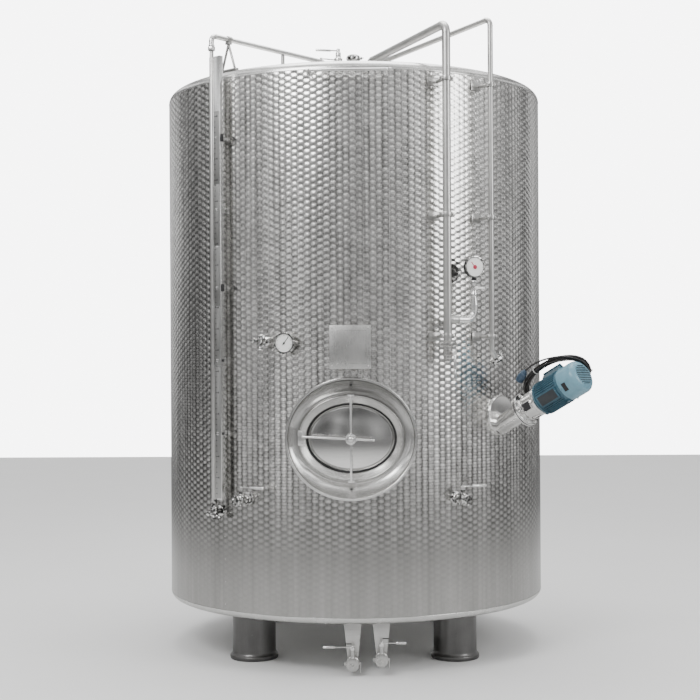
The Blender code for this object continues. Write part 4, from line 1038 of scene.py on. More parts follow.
def makeRoof():
    radius, knuckle = tank["radius"], tank["topKnuckle"]
    edge = radius - knuckle
    start = tank["high"] - knuckle
    slope = math.radians(tank["roofSlope"])
    profile = [(0, roofHeight(0)), (0.05, roofHeight(0.05)), (edge - knuckle * 0.5, roofHeight(edge - knuckle * 0.5))]
    for i in range(1, 13):
        a = slope + (math.pi / 2 - slope) * i / 12
        profile.append((edge + knuckle * math.sin(a), start + knuckle * math.cos(a)))
    profile += [(radius, start + 0.0006), (radius - 0.0012, start), (radius - 0.06, start),
                (radius - 0.06, start - 0.001), (0, start - 0.001)]
    work = bmesh.new()
    addTurned(work, profile, None, shell["steps"])
    finishPiece("roofCone", work, finishes["roof"], replaced=("roof",))
    band = bmesh.new()
    outer = radius + 0.0004
    ring = [(edge + (knuckle + 0.0004) * math.sin(math.radians(a)), start + (knuckle + 0.0004) * math.cos(math.radians(a)))
            for a in range(20, 91, 5)]
    back = [(x - 0.0012, z - 0.0006) for x, z in reversed(ring)]
    addTurned(band, ring + [(outer, start + 0.0004), (outer - 0.0012, start + 0.0004)] + back + ring[:1], None,
              shell["steps"])
    addRing(band, Matrix.Translation((0, 0, start + 0.0002)), radius - 0.0003, 0.0011, shell["steps"], 8)
    finishPiece("roofEdge", band, finishes["knuckle"])
    # weld lines of the cone's sheets, and one round the middle
    seams = bmesh.new()
    for i in range(4):
        turn = Matrix.Rotation(math.radians(45 + 90 * i), 4, "Z")
        line = [Vector((0, -r, roofHeight(r) + 0.0003)) for r in (0.16, 0.40, 0.65, edge - 0.012)]
        addTube(seams, line, 0.0016, turn, 8)
    addRing(seams, Matrix.Translation((0, 0, roofHeight(0.16) + 0.0003)), 0.16, 0.0016, 96, 8)
    finishPiece("roofWelds", seams, finishes["satin"])


def makeFloorPan():
    radius, knuckle = tank["radius"], tank["bottomKnuckle"]
    start = tank["low"] + knuckle
    profile = [(0, start), (radius - 0.0015, start), (radius, start - 0.0008)]
    for i in range(1, 11):
        a = math.pi / 2 * i / 10
        profile.append((radius - knuckle + knuckle * math.cos(a), start - knuckle * math.sin(a)))
    profile.append((0, tank["low"]))
    work = bmesh.new()
    addTurned(work, profile, None, shell["steps"])
    addRing(work, Matrix.Translation((0, 0, start + 0.0002)), radius - 0.0003, 0.0011, shell["steps"], 8)
    finishPiece("floorPan", work, finishes["knuckle"], replaced=("tank_floor",))


legs = {
    "angles": {"front_right": 45.0, "back_right": 135.0, "back_left": 225.0, "front_left": 315.0},
    "centre": 0.700,
    "radius": 0.1055,
    "foot": 0.1185,
    "footHigh": 0.022,
}


def makeLegs():
    # a round leg with its rolled foot, a weld at the top and a drain hole plug
    for name, angle in legs["angles"].items():
        place = wallFrame(angle, legs["centre"], 0.0)
        radius, foot, high = legs["radius"], legs["foot"], legs["footHigh"]
        top = tank["low"] - seat
        profile = [(0, top), (radius + 0.007, top), (radius + 0.0065, top - 0.003), (radius + 0.003, top - 0.007),
                   (radius, top - 0.010), (radius, high + 0.016), (radius + 0.002, high + 0.009),
                   (radius + 0.006, high + 0.004), (foot - 0.004, high)]
        for i in range(1, 8):
            a = math.pi * i / 8
            profile.append((foot - 0.004 + 0.004 * math.sin(a), high * 0.5 + high * 0.5 * math.cos(a)))
        profile += [(foot - 0.004, 0.0), (0, 0)]
        work = bmesh.new()
        addTurned(work, profile, place, 64)
        for z in (0.128,):
            stand = place @ Matrix.Rotation(math.radians(-angle), 4, "Z") @ Matrix.Translation((0, -radius, z))
            addBall(work, (0, 0, 0), 0.0032, stand, 0.8)
        finishPiece("leg_" + name + "_tube", work, finishes["leg"], replaced=("leg_" + name,))


makeCladding()
makeSeamRivets()
makeRoof()
makeFloorPan()
makeLegs()
print("shell made")


# Manway: collar, neck, gasket, door, yoke and clamp handle

manwayStand = Matrix.Translation((0, 0, manway["height"]))


def grown(size, by):
    return size[0] + by, size[1] + by


def makeCollar():
    radius, proud = tank["radius"], manway["lipProud"]
    lip, neck, front = manway["lip"], manway["neck"], manway["neckFront"]
    sections = [(*grown(lip, 0.0002), radius - 0.004, True), (*grown(lip, 0.0004), radius + 0.0012, True)]
    for i in range(9):
        a = math.pi * i / 8
        sections.append((*grown(lip, -0.006 + 0.006 * math.cos(a)), radius + 0.0016 + proud * 0.9 * math.sin(a), True))
    # the funnel narrows smoothly from the lip to the neck
    steps = 9
    for i in range(1, steps):
        s = i / steps
        width = lip[0] - 0.012 + (neck[0] + 0.013 - lip[0] + 0.012) * s
        height = lip[1] - 0.012 + (neck[1] + 0.013 - lip[1] + 0.012) * s
        bulge = 0.006 * math.sin(math.pi * s)
        sections.append((width, height, radius - bulge, 1 - s, front - 0.0215 - bulge))
    sections.append((*grown(neck, 0.013), front - 0.0215, False))
    for i in range(1, 5):
        a = math.pi / 2 * i / 4
        sections.append((*grown(neck, 0.013 - 0.0125 * math.sin(a)), front - 0.0215 - 0.006 * (1 - math.cos(a)), False))
    sections.append((*grown(neck, 0.0003), front - 0.055, False))
    sections.append((*grown(lip, -0.010), front - 0.055, False))
    work = bmesh.new()
    addOvals(work, sections, manwayStand, closedRing=True)
    finishPiece("collarFunnel", work, finishes["funnel"], replaced=("manway_collar",), smooth=50)
    # dark discs flush with the funnel, painted shade standing for a vent hole above the neck and a drain hole below it
    holes = bmesh.new()
    wide, narrow = lip[1] - 0.012, neck[1] + 0.013
    for z in manway["holes"]:
        s = (wide - abs(z)) / (wide - narrow)
        y = -(radius * (1 - s) + (front - 0.0215) * s) + 0.006 * math.sin(math.pi * s)
        lean = math.copysign(math.atan2(wide - narrow, radius - front + 0.0215), z)
        spot = manwayStand @ Matrix.Translation((0, y, z)) @ Matrix.Rotation(math.pi / 2 + lean, 4, "X")
        addTurned(holes, [(0, 0.0008), (0.0052, 0.0008), (0.0058, 0.0004), (0.0058, -0.001), (0, -0.001)], spot, 20)
    finishPiece("collarHoleShade", holes, finishes["gasket"])


def makeNeck():
    neck, mouth, front, back = manway["neck"], manway["mouth"], manway["neckFront"], manway["neckBack"]
    sections = []
    for i in range(7):
        a = math.pi * i / 6
        sections.append((*grown(neck, -0.0032 + 0.0032 * math.cos(a)), front - 0.0032 + 0.0032 * math.sin(a), False))
    sections += [(*grown(neck, -0.0085), front - 0.0050, False), (*grown(mouth, 0.004), front - 0.0215, False),
                 (*grown(mouth, 0.001), front - 0.0235, False), (*mouth, front - 0.026, False), (*mouth, back, False),
                 (*neck, back, False)]
    work = bmesh.new()
    addOvals(work, sections, manwayStand, closedRing=True)
    x, y = manway["hinge"]
    half = manway["barrelHalf"] + 0.003
    for side in (-1, 1):
        addBlock(work, (x, y - 0.002, side * (half + 0.007)), (0.024, 0.028, 0.014), manwayStand, edge=0.002)
    addRod(work, (x, y, -half - 0.013), (x, y, half + 0.013), 0.005, manwayStand, 16)
    finishPiece("neckRing", work, finishes["collar"], replaced=("manway_neck",), smooth=40)
    stop = bmesh.new()
    edgeX = -neck[0] + 0.014
    addBlock(stop, (edgeX, -front - 0.0015, 0.004), (0.030, 0.004, 0.070), manwayStand, edge=0.0012)
    addBlock(stop, (edgeX - 0.0132, -front - 0.007, 0.004), (0.0035, 0.013, 0.070), manwayStand, edge=0.0010)
    for z in (-0.022, 0.030):
        spot = manwayStand @ Matrix.Translation((edgeX + 0.004, -front - 0.0034, z)) @ Matrix.Rotation(math.pi / 2, 4, "X")
        addBolt(stop, spot, 0.008, 0.004)
    finishPiece("neckStop", stop, finishes["bright"])


def makeDoor():
    door, mouth, back = manway["door"], manway["mouth"], manway["neckBack"] - seat
    dome, thick = manway["doorDome"], manway["doorThick"]
    sections = [(*door, back - thick, False), (*grown(door, 0.0), back - 0.002, False), (*grown(door, -0.002), back, False),
                (*grown(mouth, -0.006), back, False), (*grown(mouth, -0.009), back + 0.0022, False)]
    for i in range(1, 12):
        s = i / 12
        size = ((mouth[0] - 0.009) * (1 - s), (mouth[1] - 0.009) * (1 - s))
        sections.append((*size, back + 0.0022 + (dome - 0.0022) * (1 - (1 - s) ** 2), False))
    work = bmesh.new()
    addOvals(work, sections, manwayStand, filled=True)
    x, y = manway["hinge"]
    half = manway["barrelHalf"]
    addRod(work, (0, -back - dome + 0.003, 0), (0, -manway["bossFront"], 0), 0.020, manwayStand, 40, edge=0.002)
    addRod(work, (x, y, -half), (x, y, half), manway["barrel"], manwayStand, 24)
    ear = (-x - door[0] + 0.014, 0.010, 2 * half - 0.010)
    addBlock(work, ((x - door[0] + 0.012) / 2, y - 0.004, 0), ear, manwayStand, edge=0.0015)
    finishPiece("doorPanel", work, finishes["door"], "door", ("manway_door",), smooth=50)
    gasket = bmesh.new()
    inner = grown(mouth, -0.0005)
    sections = [(*grown(inner, -0.0005), back + 0.0002, False), (*grown(inner, -0.0005), back + 0.0075, False),
                (*grown(inner, -0.0022), back + 0.0085, False), (*grown(inner, -0.0040), back + 0.0065, False),
                (*grown(inner, -0.0045), back + 0.0002, False)]
    addOvals(gasket, sections, manwayStand, closedRing=True)
    finishPiece("doorGasket", gasket, finishes["gasket"], "door", smooth=50)


def makeYoke():
    start = manway["neckFront"] + seat
    width, depth = manway["yokeSize"]
    half = manway["yokeHalf"]
    work = bmesh.new()
    addBlock(work, (0, -start - depth / 2, 0), (width, depth, 2 * half), manwayStand, edge=0.0016)
    for side in (-1, 1):
        addBlock(work, (0, -start - 0.0045, side * (half - 0.011)), (0.030, 0.009, 0.022), manwayStand, edge=0.0018)
    addTurned(work, [(0, 0), (0.021, 0), (0.021, depth - 0.002), (0.019, depth), (0, depth)],
              manwayStand @ Matrix.Translation((0, -start, 0)) @ Matrix.Rotation(math.pi / 2, 4, "X"), 40)
    finishPiece("yokeBar", work, finishes["bright"], replaced=("manway_yoke",))


def makeClampHandle():
    start = manway["neckFront"] + 2 * seat + manway["yokeSize"][1]
    left, right, tilt = manway["tommy"]
    stand = manwayStand @ Matrix.Translation((0, -start, 0)) @ Matrix.Rotation(math.pi / 2, 4, "X")
    work = bmesh.new()
    addTurned(work, [(0, 0.044), (0.004, 0.0438), (0.009, 0.042), (0.0125, 0.0385), (0.0140, 0.034), (0.0140, 0.0305),
                     (0.0185, 0.030), (0.0200, 0.0285), (0.0200, 0.0265), (0.0250, 0.0255), (0.026, 0.0240),
                     (0.026, 0.0015), (0.0245, 0.0), (0, 0)], stand, 48)
    for i in range(4):
        spot = stand @ Matrix.Rotation(math.radians(45 + 90 * i), 4, "Z")
        addRod(work, (0.0225, 0, 0.0240), (0.0225, 0, 0.0285), 0.0032, spot, 12, edge=0.0010)
    addRod(work, (0, -manway["bossFront"] - seat, 0), (0, -start - 0.01, 0), 0.008, manwayStand, 24)
    # the thread shows between the yoke and the door's boss
    for i in range(14):
        y = -manway["bossFront"] - 0.0035 - i * 0.0022
        spot = manwayStand @ Matrix.Translation((0, y, 0)) @ Matrix.Rotation(math.pi / 2, 4, "X")
        addRing(work, spot, 0.0078, 0.0007, 24, 6)
    slope = math.radians(tilt)
    along = Vector((math.cos(slope), 0.0, -math.sin(slope)))
    middle = Vector((0.0, -start - 0.015, 0.0))
    addRod(work, middle - along * left, middle + along * right, 0.0055, manwayStand, 20, edge=0.002)
    for reach in (-left + 0.003, right - 0.003):
        addBall(work, middle + along * reach, 0.0068, manwayStand)
    finishPiece("clampHandle", work, finishes["bright"], "clamp_screw", ("manway_handle",))


makeCollar()
makeNeck()
makeDoor()
makeYoke()
makeClampHandle()
print("manway made")

# Front fittings: ladder rail, data plate, thermometer, sampling cock

rail = {
    "height": 2.776,
    "half": 0.194,
    "radius": 0.0068,
    "standOff": 0.060,
}
dataPlate = {
    "height": 1.520,
    "size": (0.188, 0.003, 0.198),
    "stand": (0.120, 0.054, 0.110),
    "rivet": 0.0042,
}
thermometer = {
    "angle": -17.2,
    "height": 1.540,
    "radius": 0.050,
    "start": 0.028,
    "depth": 0.032,
    "pointer": 38.0,          # degrees from straight up, to the right
}
sampler = {
    "angle": -24.0,
    "height": 1.550,
}


def makeRail():
    work = bmesh.new()
    distance = tank["radius"] + rail["standOff"]
    high, half = rail["height"], rail["half"]
    addRod(work, (-half, -distance, high), (half, -distance, high), rail["radius"], None, 24, edge=0.003)
    for side in (-1, 1):
        x = side * (half - 0.012)
        wallY = -math.sqrt(tank["radius"]**2 - x**2)
        addRod(work, (x, wallY - seat, high), (x, -distance, high), rail["radius"] - 0.001, None, 20)
        stand = Matrix.Translation((x, wallY - seat, high)) @ Matrix.Rotation(math.pi / 2, 4, "X")
        addTurned(work, [(0, 0.003), (0.0125, 0.003), (0.014, 0.0015), (0.014, 0), (0, 0)], stand, 28)
        cap = Matrix.Translation((x, -distance - rail["radius"] + 0.002, high)) @ Matrix.Rotation(math.pi / 2, 4, "X")
        addBolt(work, cap, 0.009, 0.004, washer=False)
    finishPiece("ladderRailBar", work, finishes["bright"], replaced=("ladder_rail",))


def makeDataPlate():
    info = dataPlate
    place = wallFrame(0.0, tank["radius"] + seat, info["height"])
    width, thick, high = info["size"]
    front = -info["stand"][1] - thick / 2 + 0.001
    work = bmesh.new()
    addBlock(work, (0, -info["stand"][1] / 2, 0), info["stand"], place, edge=0.002)
    addBlock(work, (0, front, 0), info["size"], place, edge=0.0012)
    finishPiece("dataPlateBody", work, finishes["plate"], replaced=("data_plate",))
    rivets = bmesh.new()
    for x in (-1, 1):
        for z in (-1, 1):
            spot = place @ Matrix.Translation((x * (width / 2 - 0.012), front - thick / 2, z * (high / 2 - 0.012)))
            size = info["rivet"]
            addTurned(rivets, [(0, size * 0.6), (size * 0.6, size * 0.45), (size, 0), (0, 0)],
                      spot @ Matrix.Rotation(math.pi / 2, 4, "X"), 14)
    # a thin raised rim round the bare field
    rim = place @ Matrix.Translation((0, front - thick / 2 - 0.0002, 0))
    for side in (-1, 1):
        addBlock(rivets, (0, 0, side * (high / 2 - 0.024)), (width - 0.044, 0.0012, 0.0018), rim, edge=0.0004)
        addBlock(rivets, (side * (width / 2 - 0.022), 0, 0), (0.0018, 0.0012, high - 0.046), rim, edge=0.0004)
    finishPiece("dataPlateRivets", rivets, finishes["fastener"])


def addDial(case, face, marks, place, radius, front, back, pointerTurn, neckStart=None):
    # a bourdon or bimetal dial along z: case with a bezel, white face, scale marks and a pointer
    case_profile = [(0, back), (radius - 0.006, back), (radius - 0.001, back + 0.003), (radius - 0.001, front - 0.011),
                    (radius + 0.0008, front - 0.010), (radius + 0.0010, front - 0.003), (radius - 0.0008, front),
                    (radius - 0.0045, front - 0.0006), (radius - 0.0062, front - 0.0045), (0, front - 0.0045)]
    addTurned(case, case_profile, place, 56)
    level = front - 0.0044
    addTurned(face, [(0, level + 0.0006), (radius - 0.0064, level + 0.0006), (radius - 0.0064, level), (0, level)],
              place, 56)
    for i in range(41):
        long = i % 5 == 0
        turn = math.radians(135.0 - 270.0 * i / 40)
        spot = place @ Matrix.Rotation(turn, 4, "Z")
        inner = radius * (0.64 if long else 0.70)
        size = (0.0020 if long else 0.0010, radius * 0.80 - inner, 0.0004)
        addBlock(marks, (0, (inner + radius * 0.80) / 2, level + 0.0007), size, spot, edge=0.0001)
    hand = place @ Matrix.Rotation(math.radians(-pointerTurn), 4, "Z")
    addBlock(marks, (0, radius * 0.24, level + 0.0016), (0.0034, radius * 0.95, 0.0006), hand, edge=0.0002)
    addRing(marks, place @ Matrix.Translation((0, 0, level)), radius - 0.0072, 0.0012, 56, 6)
    addRod(marks, (0, 0, level + 0.0005), (0, 0, level + 0.0030), 0.0052, place, 20, edge=0.0006)
    return neckStart


def makeThermometer():
    info = thermometer
    place = outward(wallFrame(info["angle"], tank["radius"] + seat, info["height"]))
    case, face, marks = bmesh.new(), bmesh.new(), bmesh.new()
    addDial(case, face, marks, place, info["radius"] - 0.001, info["start"] + info["depth"], info["start"],
            info["pointer"])
    addTurned(case, [(0, 0.030), (0.012, 0.030), (0.012, 0.010), (0.0205, 0.010), (0.022, 0.0085), (0.022, 0), (0, 0)],
              place, 32)
    addRod(case, (0, 0, 0.011), (0, 0, 0.022), 0.0165, place, 6)
    finishPiece("thermometerCase", case, finishes["mirror"], replaced=("thermometer",))
    finishPiece("thermometerFace", face, finishes["white"])
    finishPiece("thermometerMarks", marks, finishes["ink"])


def makeSampler():
    # a small cock: flange, body, ring handle to the left, spout below and its cap above
    place = wallFrame(sampler["angle"], tank["radius"] + seat, sampler["height"])
    out = outward(place)
    work = bmesh.new()
    addTurned(work, [(0, 0.070), (0.011, 0.070), (0.0145, 0.067), (0.016, 0.062), (0.016, 0.042), (0.0125, 0.039),
                     (0.011, 0.036), (0.011, 0.012), (0.021, 0.010), (0.023, 0.008), (0.023, 0), (0, 0)], out, 32)
    addRod(work, (0, 0, 0.016), (0, 0, 0.028), 0.0175, out, 6)
    addRod(work, (-0.010, -0.052, 0.004), (-0.034, -0.052, 0.004), 0.009, place, 24)
    addTurned(work, [(0, 0.008), (0.009, 0.008), (0.0122, 0.005), (0.0122, -0.004), (0.009, -0.007), (0, -0.007)],
              place @ Matrix.Translation((-0.037, -0.052, 0.004)) @ Matrix.Rotation(math.pi / 2, 4, "Y"), 24)
    addRod(work, (0, -0.052, 0), (0, -0.052, -0.042), 0.0085, place, 24)
    for z in (-0.018, -0.028, -0.038):
        addRing(work, place @ Matrix.Translation((0, -0.052, z)), 0.0088, 0.0014, 24, 8)
    cap = place @ Matrix.Translation((0.006, -0.052, 0.008))
    addTurned(work, [(0, 0.026), (0.006, 0.0255), (0.0125, 0.0230), (0.0170, 0.0185), (0.019, 0.013), (0.019, 0.002),
                     (0.017, 0), (0, 0)], cap, 32)
    for i in range(3):
        addRod(work, (0.010, 0.0, -0.002 - i * 0.009), (0.021, 0.0, -0.006 - i * 0.009), 0.0035,
               place @ Matrix.Translation((0, -0.046 - i * 0.003, 0)), 12)
    finishPiece("samplingCockBody", work, finishes["mirror"], replaced=("sampling_cock",))


makeRail()
makeDataPlate()
makeThermometer()
makeSampler()
print("front fittings made")


# Level gauge: guard tube, scale plates, bolts and its bottom cock

gauge = {
    "angle": -38.5,
    "low": 0.808,
    "high": 2.896,
    "width": 0.070,
    "back": 1.002,
    "depth": 0.022,
    "tubeOffset": -0.022,
    "tubeRadius": 0.0095,
    "clamps": (1.120, 1.464, 1.805, 2.173, 2.510),
    "slots": ((2.569, 2.301), (2.278, 2.025), (1.973, 1.744), (1.687, 1.439), (1.087, 0.843)),
    "joints": (2.640, 2.290, 2.000, 1.716, 1.437),
    "cock": 0.752,
}


def makeLevelGauge():
    info = gauge
    place = wallFrame(info["angle"], 0.0, 0.0)
    front = info["back"] + info["depth"]
    low, high, half = info["low"], info["high"], info["width"] / 2
    offset, radius = info["tubeOffset"], info["tubeRadius"]
    groove = radius + 0.0015
    middle, tall = (low + high) / 2, high - low
    channel = bmesh.new()
    # the channel: back, two sides and the land beside the tube
    addBlock(channel, (0, -info["back"] - 0.001, middle), (2 * half, 0.002, tall), place, edge=0.0005)
    addBlock(channel, (-half + 0.0009, -info["back"] - 0.011, middle), (0.0018, 0.022, tall), place, edge=0.0006)
    addBlock(channel, (half - 0.0009, -info["back"] - 0.011, middle), (0.0018, 0.022, tall), place, edge=0.0006)
    land = (offset + groove, half)
    addBlock(channel, ((land[0] + land[1]) / 2, -front + 0.0012, middle), (land[1] - land[0], 0.0022, tall), place,
             edge=0.0006)
    addBlock(channel, (land[0] + 0.0008, -info["back"] - 0.010, middle), (0.0016, 0.018, tall), place, edge=0.0005)
    standOff = info["back"] - tank["radius"]
    for z in info["clamps"]:
        addBlock(channel, (0, -tank["radius"] - seat - standOff / 2, z), (0.040, standOff, 0.026), place, edge=0.0015)
        spot = place @ Matrix.Translation((0.010, -front, z)) @ Matrix.Rotation(math.pi / 2, 4, "X")
        addBolt(channel, spot, 0.012, 0.005)
    # strips close the gap beside the tube between the slots
    ends = [high] + [z for slot in info["slots"] for z in slot] + [low]
    for top, bottom in zip(ends[0::2], ends[1::2]):
        addBlock(channel, (land[0] - 0.0016, -front + 0.0016, (top + bottom) / 2), (0.0052, 0.0030, top - bottom), place,
                 edge=0.0008)
    finishPiece("gaugeChannel", channel, finishes["gaugeSteel"], replaced=("gauge_channel",))
    scale, marks = bmesh.new(), bmesh.new()
    stops = list(info["joints"]) + [low + 0.004]
    left, right = land[0] + 0.004, half - 0.005
    for top, bottom in zip(stops, stops[1:]):
        addBlock(scale, ((left + right) / 2, -front - 0.0004, (top + bottom) / 2),
                 (right - left, 0.0012, top - bottom - 0.006), place, edge=0.0004)
    finishPiece("gaugeScale", scale, finishes["scale"])
    count = round((stops[0] - stops[-1]) / 0.025)
    for i in range(1, count):
        z = stops[-1] + i * 0.025
        if min(abs(z - clamp) for clamp in info["clamps"]) < 0.013:
            continue
        width = 0.016 if i % 4 == 0 else 0.009
        addBlock(marks, (left + 0.004 + width / 2, -front - 0.0011, z), (width, 0.0004, 0.0022), place, edge=0.0001)
        if i % 4 == 0:
            for x, tall in ((0.020, 0.007), (0.0245, 0.009)):
                addBlock(marks, (left + x, -front - 0.0011, z + 0.001), (0.0028, 0.0004, tall), place, edge=0.0001)
    for z in (info["clamps"][4], info["clamps"][2]):
        addBlock(marks, (half + 0.0035, -front + 0.009, z), (0.0065, 0.016, 0.034), place, edge=0.0015)
    for z in (info["clamps"][1], info["clamps"][0]):
        addBlock(marks, (half + 0.0025, -front + 0.010, z), (0.0045, 0.010, 0.012), place, edge=0.0010)
    for top, bottom in info["slots"]:
        addBlock(marks, (land[0] - 0.0016, -front + 0.0090, (top + bottom) / 2), (0.0060, 0.0100, top - bottom), place,
                 edge=0.0010)
    finishPiece("gaugeMarks", marks, finishes["ink"])
    tube = bmesh.new()
    tubeY = -front + 0.0035
    addRod(tube, (offset, tubeY, low), (offset, tubeY, high + 0.030), radius, place, 40, edge=0.001)
    for z in info["joints"]:
        addRing(tube, place @ Matrix.Translation((offset, tubeY, z)), radius - 0.0002, 0.0008, 40, 8)
    finishPiece("gaugeTube", tube, finishes["pipe"], replaced=("gauge_tube",))


def makeGaugeCock():
    info = gauge
    place = wallFrame(info["angle"], 0.0, 0.0)
    x, z = info["tubeOffset"], info["cock"]
    tubeY = -(info["back"] + info["depth"]) + 0.0035
    at = place @ Matrix.Translation((x, tubeY, z))
    work = bmesh.new()
    top = info["low"] - seat - z
    addTurned(work, [(0, top), (0.0125, top), (0.014, top - 0.002), (0.014, 0.034), (0.011, 0.032), (0.011, 0.024),
                     (0.016, 0.022), (0.019, 0.016), (0.0195, 0.0), (0.018, -0.014), (0.013, -0.018), (0.011, -0.024),
                     (0.0135, -0.026), (0.0135, -0.034), (0.010, -0.036), (0.0085, -0.030), (0, -0.030)], at, 32)
    addRod(work, (0, 0, top - 0.017), (0, 0, top - 0.004), 0.0165, at, 6, edge=0.0014)
    arm = at @ Matrix.Translation((0, 0, -0.012)) @ Matrix.Rotation(-math.pi / 2, 4, "Y")
    addTurned(work, [(0, 0.046), (0.009, 0.046), (0.0125, 0.043), (0.014, 0.038), (0.014, 0.030), (0.010, 0.027),
                     (0.010, 0.020), (0.0135, 0.018), (0.0135, -0.014), (0.011, -0.018), (0, -0.020)], arm, 28)
    feedAt = place @ Matrix.Translation((x, -tank["radius"] - seat, z)) @ Matrix.Rotation(math.pi / 2, 4, "X")
    length = -tubeY - tank["radius"] - seat
    addTurned(work, [(0, length), (0.011, length), (0.011, 0.014), (0.024, 0.012), (0.026, 0.010), (0.026, 0), (0, 0)],
              feedAt, 32)
    for i in range(4):
        spot = feedAt @ Matrix.Rotation(math.radians(45 + 90 * i), 4, "Z") @ Matrix.Translation((0.0185, 0, 0.012))
        addBolt(work, spot, 0.006, 0.003, washer=False)
    addRod(work, (0, 0, 0.018), (0, 0, 0.030), 0.017, feedAt, 6, edge=0.0014)
    side = at @ Matrix.Translation((0, 0, -0.012)) @ Matrix.Rotation(math.radians(20), 4, "Y")
    addRod(work, (0, 0, 0), (0.038, 0.004, -0.006), 0.0075, side, 20)
    addRod(work, (0.030, 0.003, -0.005), (0.041, 0.004, -0.0065), 0.0105, side, 6, edge=0.0014)
    finishPiece("gaugeCockBody", work, finishes["mirror"], replaced=("gauge_cock",))


makeLevelGauge()
makeGaugeCock()
print("level gauge made")

# Side outlets and their levers

outlet = {
    "height": 0.818,
    "angles": {"left": -30.0, "right": 30.0},
    "reach": 0.105,
    "lever": 0.130,
    "grip": 0.078,
}


def makeOutlet(name, angle):
    place = wallFrame(angle, tank["radius"] + seat, outlet["height"])
    out = outward(place)
    reach = outlet["reach"]
    work = bmesh.new()
    # weld pad, pipe, clamp, valve body, clamp and open end
    addTurned(work, [(0, reach - 0.004), (0.0105, reach - 0.004), (0.0125, reach), (0.0185, reach),
                     (0.020, reach - 0.0015), (0.020, reach - 0.0045), (0.0165, reach - 0.0085), (0.020, reach - 0.0125),
                     (0.020, reach - 0.0155), (0.0185, reach - 0.017), (0.0152, reach - 0.018),
                     (0.0152, reach - 0.024), (0.0195, reach - 0.026), (0.022, reach - 0.029), (0.022, 0.038),
                     (0.0195, 0.034), (0.0165, 0.032), (0.0165, 0.011), (0.020, 0.007), (0.028, 0.006),
                     (0.030, 0.004), (0.030, 0), (0, 0)], out, 36)
    for along in (0.036, reach - 0.028):
        addRing(work, out @ Matrix.Translation((0, 0, along)), 0.0215, 0.0018, 36, 8)
    for along in (reach - 0.0085, 0.023):
        addTurned(work, [(0.0165, along - 0.004), (0.0225, along - 0.003), (0.0225, along + 0.003),
                         (0.0165, along + 0.004), (0.0165, along - 0.004)], out, 36)
        spot = out @ Matrix.Translation((0, -0.024, along)) @ Matrix.Rotation(math.pi / 2, 4, "Y")
        addBlock(work, (0, 0, 0), (0.007, 0.010, 0.014), out @ Matrix.Translation((0, -0.0255, along)), edge=0.0015)
        addWingNut(work, spot @ Matrix.Translation((0, 0, 0.006)), 0.013)
    stemY = -0.058
    addTurned(work, [(0, 0.042), (0.0085, 0.042), (0.011, 0.040), (0.011, 0.034), (0.009, 0.032), (0.009, 0.028),
                     (0.013, 0.024), (0.013, 0.010), (0, 0.010)], place @ Matrix.Translation((0, stemY, 0)), 24)
    finishPiece(name + "OutletBody", work, finishes["mirror"], replaced=(name + "_outlet_valve",))
    lever = bmesh.new()
    base = 0.042 + seat
    addLever(lever, place @ Matrix.Translation((0, stemY, base)), outlet["lever"], outlet["grip"])
    finishPiece(name + "OutletHandle", lever, finishes["bright"], name + "_outlet_handle",
                (name + "_outlet_lever",))


for side, angle in outlet["angles"].items():
    makeOutlet(side, angle)
print("outlets made")


# Pipes over the roof, with the pressure gauge's branch and the riser's valve

riser = {"angle": 24.9, "distance": 1.057, "radius": 0.0195, "high": 3.000, "endHigh": 3.004, "low": 1.533}
vent = {"angle": 38.9, "distance": 1.048, "radius": 0.0127, "high": 3.055, "endHigh": 2.996, "low": 1.500}
overflow = {"angle": -38.5, "distance": 1.022, "radius": 0.0120, "high": 2.998, "endHigh": 3.004}
bracketHeights = (1.568, 2.125, 2.747)
branch = {
    "height": 1.644,
    "tee": 0.055,
    "reach": 0.138,
    "gauge": 1.887,
    "radius": 0.050,
    "depth": 0.032,
    "pointer": -40.0,
    "lever": 0.125,
}
trestle = {
    "along": 0.110,
    "half": 0.047,
    "post": 0.480,
    "postRadius": 0.009,
}


def pipeEnds(line, distance):
    a = math.radians(line["angle"])
    out = Vector((math.sin(a), -math.cos(a), 0.0))
    start, end = out * line["distance"], out * distance
    start.z, end.z = line["high"], line["endHigh"]
    return start, end, Vector((end.x, end.y, roofHeight(distance) + 0.004))


def addBead(work, path, index, radius):
    # a weld ring across the pipe at this point of its path
    along = (path[index + 1] - path[index - 1]).normalized()
    addRing(work, Matrix.Translation(path[index]) @ turnTo(along), radius, 0.0011, 32, 6)


def addPipeFoot(work, end, radius):
    # where a pipe goes through the roof: a plate and a weld
    distance = math.hypot(end.x, end.y)
    a = math.atan2(end.x, -end.y)
    slope = Matrix.Rotation(a, 4, "Z") @ Matrix.Translation((0, -distance, roofHeight(distance) + seat))
    place = slope @ Matrix.Rotation(math.radians(tank["roofSlope"]), 4, "X")
    addTurned(work, [(0, 0.004), (radius + 0.004, 0.006), (radius + 0.007, 0.003), (radius + 0.017, 0.003),
                     (radius + 0.018, 0.002), (radius + 0.018, 0), (0, 0)], place, 36)


